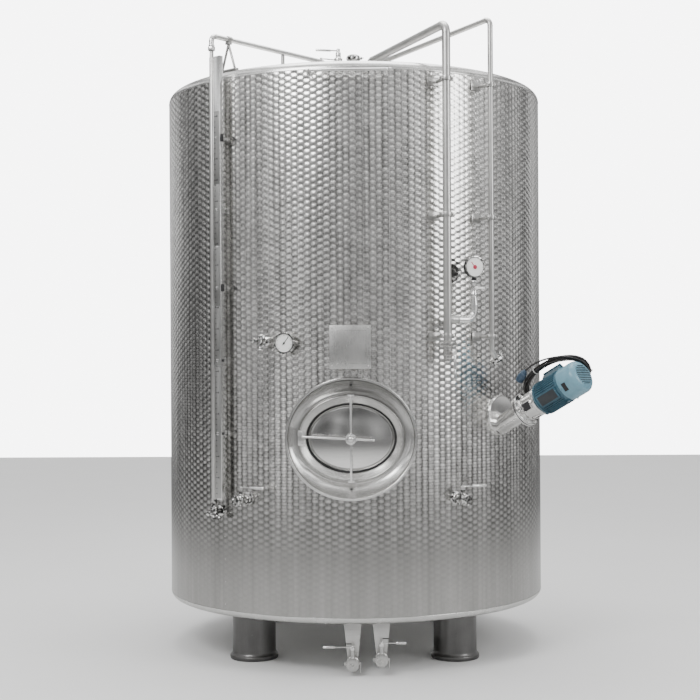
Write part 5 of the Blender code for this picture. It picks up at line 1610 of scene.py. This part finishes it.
def addPipeClamp(work, line, height):
    # a split ring with two bolts on an arm from the wall
    place = wallFrame(line["angle"], 0.0, height)
    distance, radius = line["distance"], line["radius"]
    at = place @ Matrix.Translation((0, -distance, 0))
    outer = radius + 0.0045
    addTurned(work, [(radius - 0.002, -0.011), (outer, -0.011), (outer + 0.0004, -0.0095), (outer + 0.0004, 0.0095),
                     (outer, 0.011), (radius - 0.002, 0.011), (radius - 0.002, -0.011)], at, 32)
    for side in (-1, 1):
        addBlock(work, (side * (outer + 0.004), 0, 0), (0.013, 0.012, 0.021), at, edge=0.0015)
        spot = at @ Matrix.Translation((side * (outer + 0.0045), -0.006, 0)) @ Matrix.Rotation(math.pi / 2, 4, "X")
        addBolt(work, spot, 0.008, 0.004)
    wallY = tank["radius"] + seat
    addRod(work, (-0.004, -wallY, 0), (-0.004, -distance + radius, 0), 0.008, place, 20)
    addBlock(work, (-0.026, -wallY - 0.003, 0), (0.058, 0.005, 0.040), place, edge=0.0015)
    spot = place @ Matrix.Translation((-0.042, -wallY - 0.0055, 0)) @ Matrix.Rotation(math.pi / 2, 4, "X")
    addBolt(work, spot, 0.010, 0.005)


def makeRiser():
    start, end, drop = pipeEnds(riser, 0.200)
    radius = riser["radius"]
    base = Vector((start.x, start.y, riser["low"] + seat))
    path = roundedPath([base, start, end, drop], 0.045, 12)
    work = bmesh.new()
    addTube(work, path, radius, None, 24)
    for index in (1, 13, 14, 26):
        addBead(work, path, index, radius)
    addPipeFoot(work, drop, radius)
    place = wallFrame(riser["angle"], riser["distance"], 0.0)
    low, tee = riser["low"] + seat, branch["height"]
    addTurned(work, [(0, low + 0.012), (radius, low + 0.012), (0.024, low + 0.008), (0.031, low + 0.006),
                     (0.032, low + 0.005), (0.032, low + 0.0005), (0.031, low), (0, low)], place, 40)
    addRod(work, (0, 0, tee), (branch["tee"], 0, tee), radius - 0.001, place, 28)
    for x in (radius + 0.001, branch["tee"] - 0.0005):
        bead = place @ Matrix.Translation((x, 0, tee)) @ Matrix.Rotation(math.pi / 2, 4, "Y")
        addRing(work, bead, radius - 0.0008, 0.0012, 32, 6)
    for z in (tee - 0.060, tee + 0.062):
        addRing(work, place @ Matrix.Translation((0, 0, z)), radius, 0.0011, 32, 6)
    for height in bracketHeights:
        addPipeClamp(work, riser, height)
    finishPiece("riserTube", work, finishes["pipe"], replaced=("riser_pipe",))


def makeBranch():
    place = wallFrame(riser["angle"], riser["distance"], 0.0)
    reach, tee = branch["reach"], branch["height"]
    radius = riser["radius"] - 0.0015
    path = roundedPath([(branch["tee"] + seat, 0, tee), (reach, 0, tee), (reach, 0, tee + 0.070)], 0.040, 12)
    work = bmesh.new()
    addTube(work, path, radius, place, 24)
    for index in (1, 13):
        along = (path[index + 1] - path[index - 1]).normalized()
        addRing(work, place @ Matrix.Translation(path[index]) @ turnTo(along), radius, 0.0011, 32, 6)
    low = tee + 0.068
    high = branch["gauge"] - branch["radius"] - 0.012
    at = place @ Matrix.Translation((reach, 0, 0))
    addTurned(work, [(0, low - 0.002), (radius + 0.0012, low - 0.001), (radius + 0.0012, low + 0.003),
                     (0.012, low + 0.038), (0.012, low + 0.042), (0, low + 0.042)], at, 32)
    addTurned(work, [(0, low + 0.040), (0.013, low + 0.040), (0.015, low + 0.044), (0.015, low + 0.052),
                     (0.0125, low + 0.056), (0.0125, high - 0.018), (0.015, high - 0.014), (0.015, high - 0.003),
                     (0.013, high), (0, high)], at, 32)
    addRod(work, (0, 0, high - 0.015), (0, 0, high - 0.002), 0.0165, at, 6, edge=0.0014)
    stem = low + 0.078
    addRod(work, (0, 0, stem), (0, -0.022, stem), 0.007, at, 24)
    finishPiece("branchPipe", work, finishes["bright"], replaced=("gauge_branch",))
    tip = -0.022 - seat
    lever = bmesh.new()
    addRod(lever, (0, tip, stem), (0, tip - 0.008, stem), 0.008, at, 24, edge=0.0015)
    addBlock(lever, (0.021, tip - 0.005, stem), (0.040, 0.0045, 0.010), at, edge=0.0018)
    finishPiece("gaugeCockHandle", lever, finishes["white"], "gauge_cock_handle", ("gauge_cock_lever",))


def makePressureGauge():
    place = wallFrame(riser["angle"], riser["distance"], 0.0)
    stand = place @ Matrix.Translation((branch["reach"], 0, branch["gauge"]))
    out = outward(stand)
    case, face, marks = bmesh.new(), bmesh.new(), bmesh.new()
    half, radius = branch["depth"] / 2, branch["radius"] - 0.0010
    rim = [(radius - 0.0035, half - 0.0045), (radius - 0.0015, half - 0.0005), (radius + 0.0010, half - 0.001),
           (radius + 0.0012, half - 0.007), (radius - 0.001, half - 0.009), (radius - 0.004, half - 0.009),
           (radius - 0.0035, half - 0.0045)]
    bezel = bmesh.new()
    addTurned(bezel, rim, out, 56)
    finishPiece("pressureGaugeBezel", bezel, finishes["mirror"])
    addTurned(case, [(0, half - 0.006), (radius - 0.003, half - 0.006), (radius - 0.001, half - 0.008),
                     (radius - 0.001, -half + 0.005), (radius - 0.005, -half), (0, -half)], out, 56)
    neckLow = -branch["radius"] - 0.012 + seat
    addTurned(case, [(0, neckLow), (0.008, neckLow), (0.008, -radius + 0.004), (0, -radius + 0.004)], stand, 24)
    addRod(case, (0, 0, neckLow + 0.002), (0, 0, neckLow + 0.011), 0.0105, stand, 6)
    finishPiece("pressureGaugeCase", case, finishes["gasket"], replaced=("pressure_gauge",))
    level = half - 0.0058
    addTurned(face, [(0, level + 0.0006), (radius - 0.0036, level + 0.0006), (radius - 0.0036, level), (0, level)], out, 56)
    finishPiece("pressureGaugeFace", face, finishes["white"])
    for i in range(31):
        turn = math.radians(135.0 - 270.0 * i / 30)
        spot = out @ Matrix.Rotation(turn, 4, "Z")
        inner = radius * (0.74 if i % 5 == 0 else 0.79)
        outer = radius * 0.86
        size = (0.0012 if i % 5 == 0 else 0.0006, outer - inner, 0.0004)
        addBlock(marks, (0, (inner + outer) / 2, level + 0.0007), size, spot, edge=0.0001)
    addRing(marks, out @ Matrix.Translation((0, 0, level)), radius - 0.0046, 0.0011, 56, 6)
    finishPiece("pressureGaugeMarks", marks, finishes["ink"])
    hand = bmesh.new()
    spot = out @ Matrix.Rotation(math.radians(-branch["pointer"]), 4, "Z")
    addBlock(hand, (0, radius * 0.22, level + 0.0016), (0.0038, radius * 0.80, 0.0006), spot, edge=0.0002)
    addRod(hand, (0, 0, level + 0.0005), (0, 0, level + 0.0032), 0.0100, out, 24, edge=0.0006)
    finishPiece("pressureGaugePointer", hand, finishes["red"])


def makeRiserValve():
    place = wallFrame(riser["angle"], riser["distance"], 0.0)
    top = riser["low"]
    work = bmesh.new()
    addTurned(work, [(0, top), (0.031, top), (0.032, top - 0.0008), (0.032, top - 0.0055), (0.031, top - 0.007),
                     (0.024, top - 0.010), (0.021, top - 0.014), (0.021, top - 0.030), (0.0235, top - 0.033),
                     (0.0235, top - 0.051), (0.021, top - 0.054), (0.021, top - 0.064), (0.017, top - 0.069),
                     (0.017, top - 0.080), (0.0135, top - 0.080), (0.0120, top - 0.076), (0, top - 0.076)], place, 40)
    # the clamp round the two plates, with its wing nut to the right
    addTurned(work, [(0.027, top - 0.0075), (0.0345, top - 0.006), (0.035, top + 0.0), (0.0345, top + 0.006),
                     (0.027, top + 0.0075), (0.027, top - 0.0075)], place, 48)
    addBlock(work, (0.038, 0, top), (0.012, 0.014, 0.011), place, edge=0.002)
    addBlock(work, (-0.038, 0, top), (0.012, 0.012, 0.011), place, edge=0.002)
    addWingNut(work, place @ Matrix.Translation((0.040, -0.007, top)) @ Matrix.Rotation(math.pi / 2, 4, "X"), 0.014)
    stem = top - 0.042
    addRod(work, (0.012, 0, stem), (0.012, -0.034, stem), 0.010, place, 24)
    addRod(work, (0.012, -0.018, stem), (0.012, -0.028, stem), 0.0135, place, 6)
    finishPiece("riserValveBody", work, finishes["collar"], replaced=("riser_valve",))
    tip = -0.034 - seat
    lever = bmesh.new()
    # the lever hangs down along the pipe's line
    at = place @ Matrix.Translation((0.012, tip, stem)) @ Matrix.Rotation(math.pi / 2, 4, "X")
    hang = at @ Matrix.Rotation(-math.pi / 2, 4, "Z")
    addTurned(lever, [(0, 0), (0.011, 0), (0.011, 0.011), (0.009, 0.013), (0, 0.013)], hang, 24)
    addBlock(lever, (0.036, 0, 0.010), (0.082, 0.012, 0.0034), hang, edge=0.001)
    addRod(lever, (0.075, 0, 0.010), (branch["lever"], 0, 0.010), 0.006, hang, 16, edge=0.0025)
    finishPiece("riserValveHandle", lever, finishes["bright"], "riser_handle",
                ("riser_valve_lever",))


def makeVentPipe():
    start, end, drop = pipeEnds(vent, 0.140)
    radius = vent["radius"]
    place = wallFrame(vent["angle"], vent["distance"], 0.0)
    base = Vector((start.x, start.y, vent["low"]))
    foot = place @ Vector((0.022, 0.0, vent["low"] - 0.030))
    path = roundedPath([foot, base, start, end, drop], 0.030, 10)
    work = bmesh.new()
    addTube(work, path, radius, None, 20)
    for index in (1, 11, 12, 22, 23):
        addBead(work, path, index, radius)
    addPipeFoot(work, drop, radius)
    for height in bracketHeights:
        addPipeClamp(work, vent, height)
    finishPiece("ventTube", work, finishes["pipe"], replaced=("vent_pipe",))
    across = Vector((0.022, 0.0, -0.030)).normalized()
    first = Vector((0.022, 0.0, vent["low"] - 0.030)) + across * seat
    cap = place @ Matrix.Translation(first) @ turnTo(across)
    cover = bmesh.new()
    addTurned(cover, [(0, 0), (0.017, 0), (0.0235, 0.001), (0.029, 0.004), (0.032, 0.008), (0.034, 0.010),
                      (0.034, 0.013), (0.032, 0.016), (0.028, 0.019), (0.0215, 0.0235), (0.020, 0.0255), (0, 0.0260)],
              cap, 40)
    for i in range(16):
        spot = cap @ Matrix.Rotation(2 * math.pi * i / 16, 4, "Z")
        addBlock(cover, (0.0305, 0, 0.0135), (0.0075, 0.0032, 0.0110), spot, edge=0.0010)
    wing = place @ Matrix.Translation(first + across * 0.008 + Vector((0.030, 0.0, 0.014)))
    addRod(cover, (0, 0, 0), (0, 0, 0.010), 0.0032, wing, 12)
    addWingNut(cover, wing @ Matrix.Translation((0.001, 0, 0.004)), 0.013)
    finishPiece("ventCap", cover, finishes["mirror"], replaced=("vent_pipe_cap",))


def makeOverflowPipe():
    end, drop = pipeEnds(overflow, 0.230)[1:]
    place = wallFrame(overflow["angle"], 0.0, 0.0)
    radius = overflow["radius"]
    tubeY = -(gauge["back"] + gauge["depth"]) + 0.0035
    low = gauge["high"] + 0.030 + seat
    base = place @ Vector((gauge["tubeOffset"], tubeY, low))
    corner = Vector((base.x, base.y, overflow["high"]))
    path = roundedPath([base, corner, end, drop], 0.026, 10)
    work = bmesh.new()
    addTube(work, path, radius, None, 20)
    for index in (1, 11, 12, 22):
        addBead(work, path, index, radius)
    addPipeFoot(work, drop, radius)
    at = place @ Matrix.Translation((gauge["tubeOffset"], tubeY, low))
    addRod(work, (0, 0, 0.0), (0, 0, 0.019), 0.0172, at, 8, edge=0.0016)
    addRod(work, (0, 0, 0.019), (0, 0, 0.028), 0.0145, at, 24, edge=0.0016)
    finishPiece("overflowTube", work, finishes["bright"], replaced=("overflow_pipe",))
    along = (end - corner).normalized()
    across = Vector((-along.y, along.x, 0.0)).normalized()
    grip = corner + along * trestle["along"]
    stand = bmesh.new()
    top = grip - Vector((0, 0, radius + seat))
    ring = Matrix.Translation(grip) @ turnTo(along)
    addTurned(stand, [(radius + seat, -0.009), (radius + 0.004, -0.009), (radius + 0.004, 0.009),
                      (radius + seat, 0.009), (radius + seat, -0.009)], ring, 28)
    turn = Matrix.Rotation(math.atan2(across.y, across.x), 4, "Z")
    ear = Matrix.Translation(grip) @ turn
    for side in (-1, 1):
        addBlock(stand, (side * (radius + 0.007), 0, 0), (0.012, 0.014, 0.006), ear, edge=0.0014)
        addBolt(stand, ear @ Matrix.Translation((side * (radius + 0.008), 0, 0.003)), 0.008, 0.004)
    addBlock(stand, top - Vector((0, 0, 0.006)), (0.026, 0.022, 0.011), None, turn, edge=0.0015)
    level = tank["high"] - 0.003
    for side in (-1, 1):
        foot = grip + across * (trestle["half"] * side)
        foot.z = level + 0.009
        addRod(stand, top - Vector((0, 0, 0.008)), foot, 0.006, None, 16)
    addBlock(stand, (grip.x, grip.y, level + 0.016), (0.118, 0.020, 0.010), None, turn, edge=0.0015)
    finishPiece("trestleFrame", stand, finishes["satin"], replaced=("pipe_trestle",))
    post = bmesh.new()
    place = corner + along * trestle["post"]
    thick = trestle["postRadius"]
    foot = roofHeight(math.hypot(place.x, place.y) - thick) + seat
    addRod(post, (place.x, place.y, foot), (place.x, place.y, place.z - radius - seat), thick, None, 20)
    ends = Matrix.Translation((place.x, place.y, foot))
    addTurned(post, [(thick, 0.006), (thick + 0.004, 0.003), (thick + 0.005, 0.0005), (thick, 0.0002), (thick, 0.006)],
              ends, 24)
    finishPiece("pipePostRod", post, finishes["satin"], replaced=("pipe_post",))


makeRiser()
makeBranch()
makePressureGauge()
makeRiserValve()
makeVentPipe()
makeOverflowPipe()
print("pipes made")


# Roof middle: neck with its cap, and the relief valve with its lever

roofFittings = {
    "capTop": 3.085,
    "valveX": -0.080,
    "leverEnd": -0.200,
}


def makeRoofNeck():
    top = roofFittings["capTop"]
    base = roofHeight(0.026) + 1.5 * seat
    work = bmesh.new()
    addTurned(work, [(0, top), (0.012, top - 0.0003), (0.024, top - 0.0015), (0.030, top - 0.0045),
                     (0.0345, top - 0.009), (0.0355, top - 0.013), (0.0355, top - 0.026), (0.034, top - 0.029),
                     (0.028, top - 0.031), (0.026, top - 0.034), (0.026, base + 0.012), (0.0275, base + 0.006),
                     (0.026, base), (0, roofHeight(0.0) + 1.5 * seat)], None, 48)
    clampAt = Matrix.Translation((0, 0, top - 0.020))
    addTurned(work, [(0.034, -0.006), (0.0375, -0.005), (0.0375, 0.005), (0.034, 0.006), (0.034, -0.006)], clampAt, 48)
    addBlock(work, (0.041, 0, 0), (0.011, 0.014, 0.010), clampAt, edge=0.002)
    addWingNut(work, clampAt @ Matrix.Translation((0.041, -0.006, 0)) @ Matrix.Rotation(math.pi / 2, 4, "X"), 0.013)
    finishPiece("roofNeckBody", work, finishes["mirror"], replaced=("roof_neck",))


def makeReliefValve():
    x = roofFittings["valveX"]
    base = roofHeight(abs(x)) + 0.003
    at = Matrix.Translation((x, 0, 0))
    work = bmesh.new()
    addTurned(work, [(0, 3.100), (0.011, 3.100), (0.014, 3.097), (0.014, 3.073), (0.0165, 3.069), (0.022, 3.066),
                     (0.0225, 3.060), (0.0195, 3.056), (0.0225, 3.052), (0.022, 3.046), (0.0165, 3.043),
                     (0.015, 3.040), (0.015, base + 0.010), (0.0175, base + 0.004), (0.015, base), (0, base)], at, 32)
    addRod(work, (0, 0, 3.092), (0, 0, 3.118), 0.0095, at, 24, edge=0.002)
    addRod(work, (0, 0, 3.1085), (roofFittings["leverEnd"] - x, 0, 3.114), 0.0042, at, 16)
    addRod(work, (-0.040, 0, 3.110), (roofFittings["leverEnd"] - x, 0, 3.114), 0.0068, at, 20, edge=0.0025)
    addRod(work, (0, 0, 3.058), (-0.092, 0, 3.068), 0.004, at, 12)
    addBall(work, (-0.092, 0, 3.068), 0.0062, at)
    finishPiece("reliefValveBody", work, finishes["bright"], replaced=("relief_valve",))


makeRoofNeck()
makeReliefValve()
print("roof fittings made")

# Drain lines under the floor, each with a hanger plate, a clamped valve and a lever

drains = {
    "left": {"x": 0.000, "z": 0.055, "side": -1, "lever": 0.137, "back": 0.120},
    "right": {"x": 0.134, "z": 0.074, "side": 1, "lever": 0.114, "back": 0.220},
}
drainShape = {
    "radius": 0.019,
    "clamp": 0.031,
    "front": -0.925,
    "topHalf": 0.0425,        # half widths of the hanger plate
    "lowHalf": 0.023,
}


def addTapered(work, high, low, topHalf, lowHalf, thick, place):
    # an upright plate that narrows downwards, its face across y
    part = bmesh.new()
    bmesh.ops.create_cube(part, size=1.0)
    for vert in part.verts:
        half = topHalf if vert.co.z > 0 else lowHalf
        vert.co = (vert.co.x * 2 * half, vert.co.y * thick, high if vert.co.z > 0 else low)
    softEdges(part, 0.001)
    joinInto(work, part, place)


def makeDrain(name, line):
    x, z, front = line["x"], line["z"], drainShape["front"]
    radius, clamp = drainShape["radius"], drainShape["clamp"]
    top = tank["low"] - seat
    work = bmesh.new()
    path = roundedPath([(x, front + 0.050, z), (x, -line["back"], z), (x, -line["back"], top)], 0.050, 12)
    addTube(work, path, radius, None, 24)
    for index in (1, 13):
        addBead(work, path, index, radius)
    addRing(work, Matrix.Translation((x, -line["back"], top - 0.002)), radius + 0.002, 0.004, 32, 8)
    face = Matrix.Translation((x, front + 0.072, z)) @ Matrix.Rotation(math.pi / 2, 4, "X")
    # blind cap with a sunk middle, clamp ring, body and the rear clamp ring
    addTurned(work, [(0, 0.0715), (0.0035, 0.0715), (0.0050, 0.0700), (0.0065, 0.0680), (0.0115, 0.0680),
                     (0.0130, 0.0715), (0.0150, 0.0720), (0.0225, 0.0715), (0.0285, 0.0700), (0.0310, 0.0665),
                     (0.0310, 0.0560), (0.0285, 0.0530), (0.0260, 0.0520), (0.0260, 0.0200), (0.0290, 0.0180),
                     (0.0310, 0.0150), (0.0310, 0.0050), (0.0290, 0.0020), (0.0260, 0), (0, 0)], face, 48)
    for i in range(8):
        spot = face @ Matrix.Rotation(math.radians(22.5 + 45 * i), 4, "Z")
        addBlock(work, (clamp - 0.0025, 0, 0.0610), (0.0060, 0.0085, 0.0130), spot, edge=0.0020)
    for i in range(12):
        spot = face @ Matrix.Rotation(2 * math.pi * i / 12, 4, "Z")
        addRod(work, (0.0195, 0, 0.0705), (0.0195, 0, 0.0722), 0.0021, spot, 10, edge=0.0005)
    addBlock(work, (-0.034, 0.006, 0.061), (0.010, 0.016, 0.012), face, edge=0.0025)
    stemY = front + 0.036
    stem = Matrix.Translation((x, stemY, z))
    addTurned(work, [(0, 0.062), (0.0085, 0.062), (0.0100, 0.0600), (0.0100, 0.0300), (0.0120, 0.0270), (0, 0.0270)],
              stem, 28)
    plateY = front + 0.085
    plate = Matrix.Translation((x, plateY, 0))
    addTapered(work, top, z - 0.004, drainShape["topHalf"], drainShape["lowHalf"], 0.006, plate)
    addRing(work, Matrix.Translation((x, plateY - 0.003, z)) @ Matrix.Rotation(math.pi / 2, 4, "X"), 0.0215, 0.002)
    # the clamp's screw and its hanging wing nut
    side = Matrix.Translation((x + 0.033, front + 0.014, z))
    addBlock(work, (0, 0, 0.008), (0.012, 0.012, 0.012), side, edge=0.002)
    addRod(work, (0.003, 0, 0.012), (0.003, 0, -0.034), 0.0026, side, 12)
    addBlock(work, (0.003, 0, -0.028), (0.0055, 0.0045, 0.016), side, edge=0.0015)
    finishPiece(name + "DrainBody", work, finishes["drain"], replaced=(name + "_drain",))
    # painted shade: a dark strip on the hanger plate stands for its slot
    slot = bmesh.new()
    shift = -0.026 if line["side"] < 0 else 0.014
    addBlock(slot, (x + shift + 0.006, plateY - 0.0034, z + 0.082 + 0.006 * (line["side"] > 0)), (0.030, 0.0014, 0.0045),
             None, edge=0.0005)
    finishPiece(name + "DrainSlotShade", slot, finishes["ink"])
    lever = bmesh.new()
    base = z + 0.062 + seat
    at = Matrix.Translation((x, stemY, base)) @ Matrix.Rotation(math.pi if line["side"] < 0 else 0.0, 4, "Z")
    addLever(lever, at, line["lever"], line["lever"] * 0.40)
    finishPiece(name + "DrainHandle", lever, finishes["bright"], name + "_drain_handle",
                (name + "_drain_lever",))


for side, line in drains.items():
    makeDrain(side, line)
print("drains made")


# Mixer: pad, neck, clamped flanges, lantern with its pockets, finned motor and fan cowl

motorParts = {
    "fins": 44,
    "finDepth": 0.0055,
    "plateTurn": 200.0,       # degrees round the shaft line, seen from the cowl
    "bandTurn": 200.0,
    "louvres": 11,
}


def makeLantern():
    place = mixerFrame()
    wall = outward(wallFrame(mixer["angle"], 0.0, mixer["height"] + mixer["padLift"]))
    radius, pad = tank["radius"], mixer["padRadius"]
    at, end, flange = mixer["flangeAt"], mixer["lanternEnd"], mixer["flangeRadius"]
    work = bmesh.new()
    addTurned(work, [(0, radius - 0.004), (pad - 0.002, radius - 0.004), (pad, radius - 0.002), (pad, radius + 0.009),
                     (pad - 0.0015, radius + 0.0115), (pad - 0.005, radius + 0.0118), (pad - 0.010, radius + 0.0095),
                     (0, radius + 0.0090)], wall, 72)
    addTurned(work, [(0, 0.0), (0.044, 0.0), (0.044, at - 0.020), (0.049, at - 0.013), (flange - 0.004, at - 0.010),
                     (flange, at - 0.0085), (flange, at - 0.0015), (flange - 0.002, at - 0.0004), (0, at - 0.0004)],
              place, 56)
    addTurned(work, [(0, at + 0.0018), (flange - 0.002, at + 0.0018), (flange, at + 0.003), (flange, at + 0.0125),
                     (flange - 0.003, at + 0.0145), (0.064, at + 0.0165), (0.0575, at + 0.022), (0.0575, end - 0.022),
                     (0.0620, end - 0.016), (0.0685, end - 0.0135), (0.070, end - 0.012), (0.070, end - 0.0015),
                     (0.0690, end - 0.0003), (0, end - 0.0003)], place, 56)
    count = 8
    for i in range(count):
        spot = place @ Matrix.Rotation(2 * math.pi * (i + 0.3) / count, 4, "Z") @ Matrix.Translation((0.069, 0, 0))
        addBolt(work, spot @ Matrix.Translation((0, 0, at + 0.0145)), 0.012, 0.006)
        addBolt(work, spot @ Matrix.Translation((0, 0, at - 0.010)) @ Matrix.Rotation(math.pi, 4, "X"), 0.012, 0.006)
    # frames round the four hand holes, whose openings are dark blocks of painted shade
    holes = bmesh.new()
    middle, tall = (at + 0.020 + end - 0.018) / 2, 0.050
    for i in range(4):
        spot = place @ Matrix.Rotation(math.radians(186.0 + 90.0 * i), 4, "Z") @ Matrix.Translation((0.0545, 0, middle))
        addBlock(holes, (0, 0, 0), (0.0092, 0.036, tall - 0.010), spot, edge=0.004)
        for side in (-1, 1):
            addBlock(work, (0.0015, side * 0.0215, 0), (0.010, 0.006, tall), spot, edge=0.002)
            addBlock(work, (0.0020, 0, side * (tall / 2 - 0.0015)), (0.010, 0.046, 0.006), spot, edge=0.002)
    finishPiece("mixerLantern", work, finishes["polished"], replaced=("mixer_lantern",))
    addTurned(holes, [(0, at - 0.0005), (flange + 0.0008, at - 0.0005), (flange + 0.0008, at + 0.0019),
                      (0, at + 0.0019)], place, 56)
    finishPiece("mixerGasketAndHoleShade", holes, finishes["gasket"])


def makeMotor():
    place = mixerFrame()
    start, end, radius = mixer["lanternEnd"], mixer["cowlStart"] - seat, mixer["motorRadius"]
    work = bmesh.new()
    depth = motorParts["finDepth"]
    core = radius - depth
    addTurned(work, [(0, end), (core, end), (core, end - 0.010), (core, start + 0.020), (radius - 0.002, start + 0.018),
                     (radius - 0.001, start + 0.014), (radius - 0.006, start + 0.008), (0.067, start + 0.003),
                     (0.066, start), (0, start)], place, 56)
    count = motorParts["fins"]
    for i in range(count):
        turn = 360.0 * i / count
        nearPlate = abs((turn - motorParts["plateTurn"] + 180) % 360 - 180) < 22
        nearBox = abs((turn - 45.0 + 180) % 360 - 180) < 34
        if nearPlate or nearBox:
            continue
        spot = place @ Matrix.Rotation(math.radians(turn), 4, "Z")
        long = end - start - 0.034
        addBlock(work, (core + depth * 0.42, 0, start + 0.020 + long / 2), (depth * 1.1, 0.0026, long), spot, edge=0.0008)
    # the terminal box with its lid screws, the land under the nameplate, feet and gland
    stand = boxFrame()
    addBlock(work, (0, 0, 0.092), (0.088, 0.108, 0.056), stand, edge=0.004)
    addBlock(work, (0, 0, 0.131), (0.090, 0.110, 0.006), stand, edge=0.002)
    for x in (-0.037, 0.037):
        for y in (-0.047, 0.047):
            addBolt(work, stand @ Matrix.Translation((x, y, 0.1335)), 0.006, 0.003, washer=False)
    addRod(work, (0, 0.052, gland[2]), (0, 0.077, gland[2]), 0.011, stand, 6, edge=0.0015)
    addRod(work, (0, 0.060, gland[2]), (0, 0.077, gland[2]), 0.0095, stand, 24)
    land = place @ Matrix.Rotation(math.radians(motorParts["plateTurn"]), 4, "Z")
    addBlock(work, (core - 0.001, 0, (start + end) / 2 + 0.004), (0.014, 0.056, end - start - 0.044), land, edge=0.003)
    for side in (-1, 1):
        for z in (start + 0.014, end - 0.012):
            spot = place @ Matrix.Rotation(math.radians(290.0 + 34 * side), 4, "Z")
            addBlock(work, (radius - 0.006, 0, z), (0.016, 0.014, 0.018), spot, edge=0.002)
    finishPiece("motorBody", work, finishes["motor"], replaced=("motor",))
    plate = bmesh.new()
    spot = land @ Matrix.Translation((core + 0.0062, 0, (start + end) / 2 + 0.004))
    addBlock(plate, (0, 0, 0), (0.0014, 0.046, end - start - 0.060), spot, edge=0.0004)
    for y in (-0.019, 0.019):
        for z in (-0.042, 0.042):
            addBall(plate, (0.0008, y, z), 0.0020, spot)
    finishPiece("motorPlate", plate, finishes["plateDark"])
    lid = bmesh.new()
    addBlock(lid, (0.030, -0.004, 0.104), (0.032, 0.098, 0.020), stand, edge=0.003)
    finishPiece("boxLabelBand", lid, finishes["boxBrown"])


def makeCowl():
    place = mixerFrame()
    start, end, radius = mixer["cowlStart"], mixer["cowlEnd"], mixer["cowlRadius"]
    work = bmesh.new()
    addTurned(work, [(0, end - 0.001), (radius - 0.027, end - 0.001), (radius - 0.018, end - 0.003),
                     (radius - 0.010, end - 0.009), (radius - 0.003, end - 0.018), (radius, end - 0.027),
                     (radius, start + 0.002), (radius - 0.0015, start), (0, start)], place, 64)
    addRing(work, place @ Matrix.Translation((0, 0, start + 0.016)), radius - 0.0004, 0.0012, 64, 8)
    for i in range(4):
        spot = place @ Matrix.Rotation(math.radians(20.0 + 90 * i), 4, "Z")
        addBolt(work, spot @ Matrix.Translation((radius - 0.0005, 0, start + 0.008)) @ Matrix.Rotation(math.pi / 2, 4, "Y"),
                0.007, 0.003)
    count = motorParts["louvres"]
    for i in range(count + 1):
        y = (radius - 0.030) * (2 * i / count - 1)
        half = math.sqrt(max(0.0, (radius - 0.024)**2 - y**2))
        addBlock(work, (0, y, end - 0.0004), (2 * half, 0.0034, 0.0028), place, edge=0.0008)
    finishPiece("motorCowl", work, finishes["cowl"], replaced=("motor_cowl",))
    # painted shade: dark strips behind the louvres stand for the gaps between them
    dark = bmesh.new()
    for i in range(count):
        y = (radius - 0.030) * (2 * (i + 0.5) / count - 1)
        half = math.sqrt(max(0.0, (radius - 0.029)**2 - y**2))
        addBlock(dark, (0, y, end - 0.0006), (2 * half, 0.0040, 0.0012), place, edge=0.0003)
    # a dark block as painted shade for the opening in the cowl's side, beside the nameplate
    spot = place @ Matrix.Rotation(math.radians(motorParts["bandTurn"]), 4, "Z")
    addBlock(dark, (radius - 0.0012, 0, start + 0.030), (0.0040, 0.040, 0.022), spot, edge=0.0012)
    finishPiece("cowlSlotShade", dark, finishes["gasket"])


makeLantern()
makeMotor()
makeCowl()
print("mixer made")
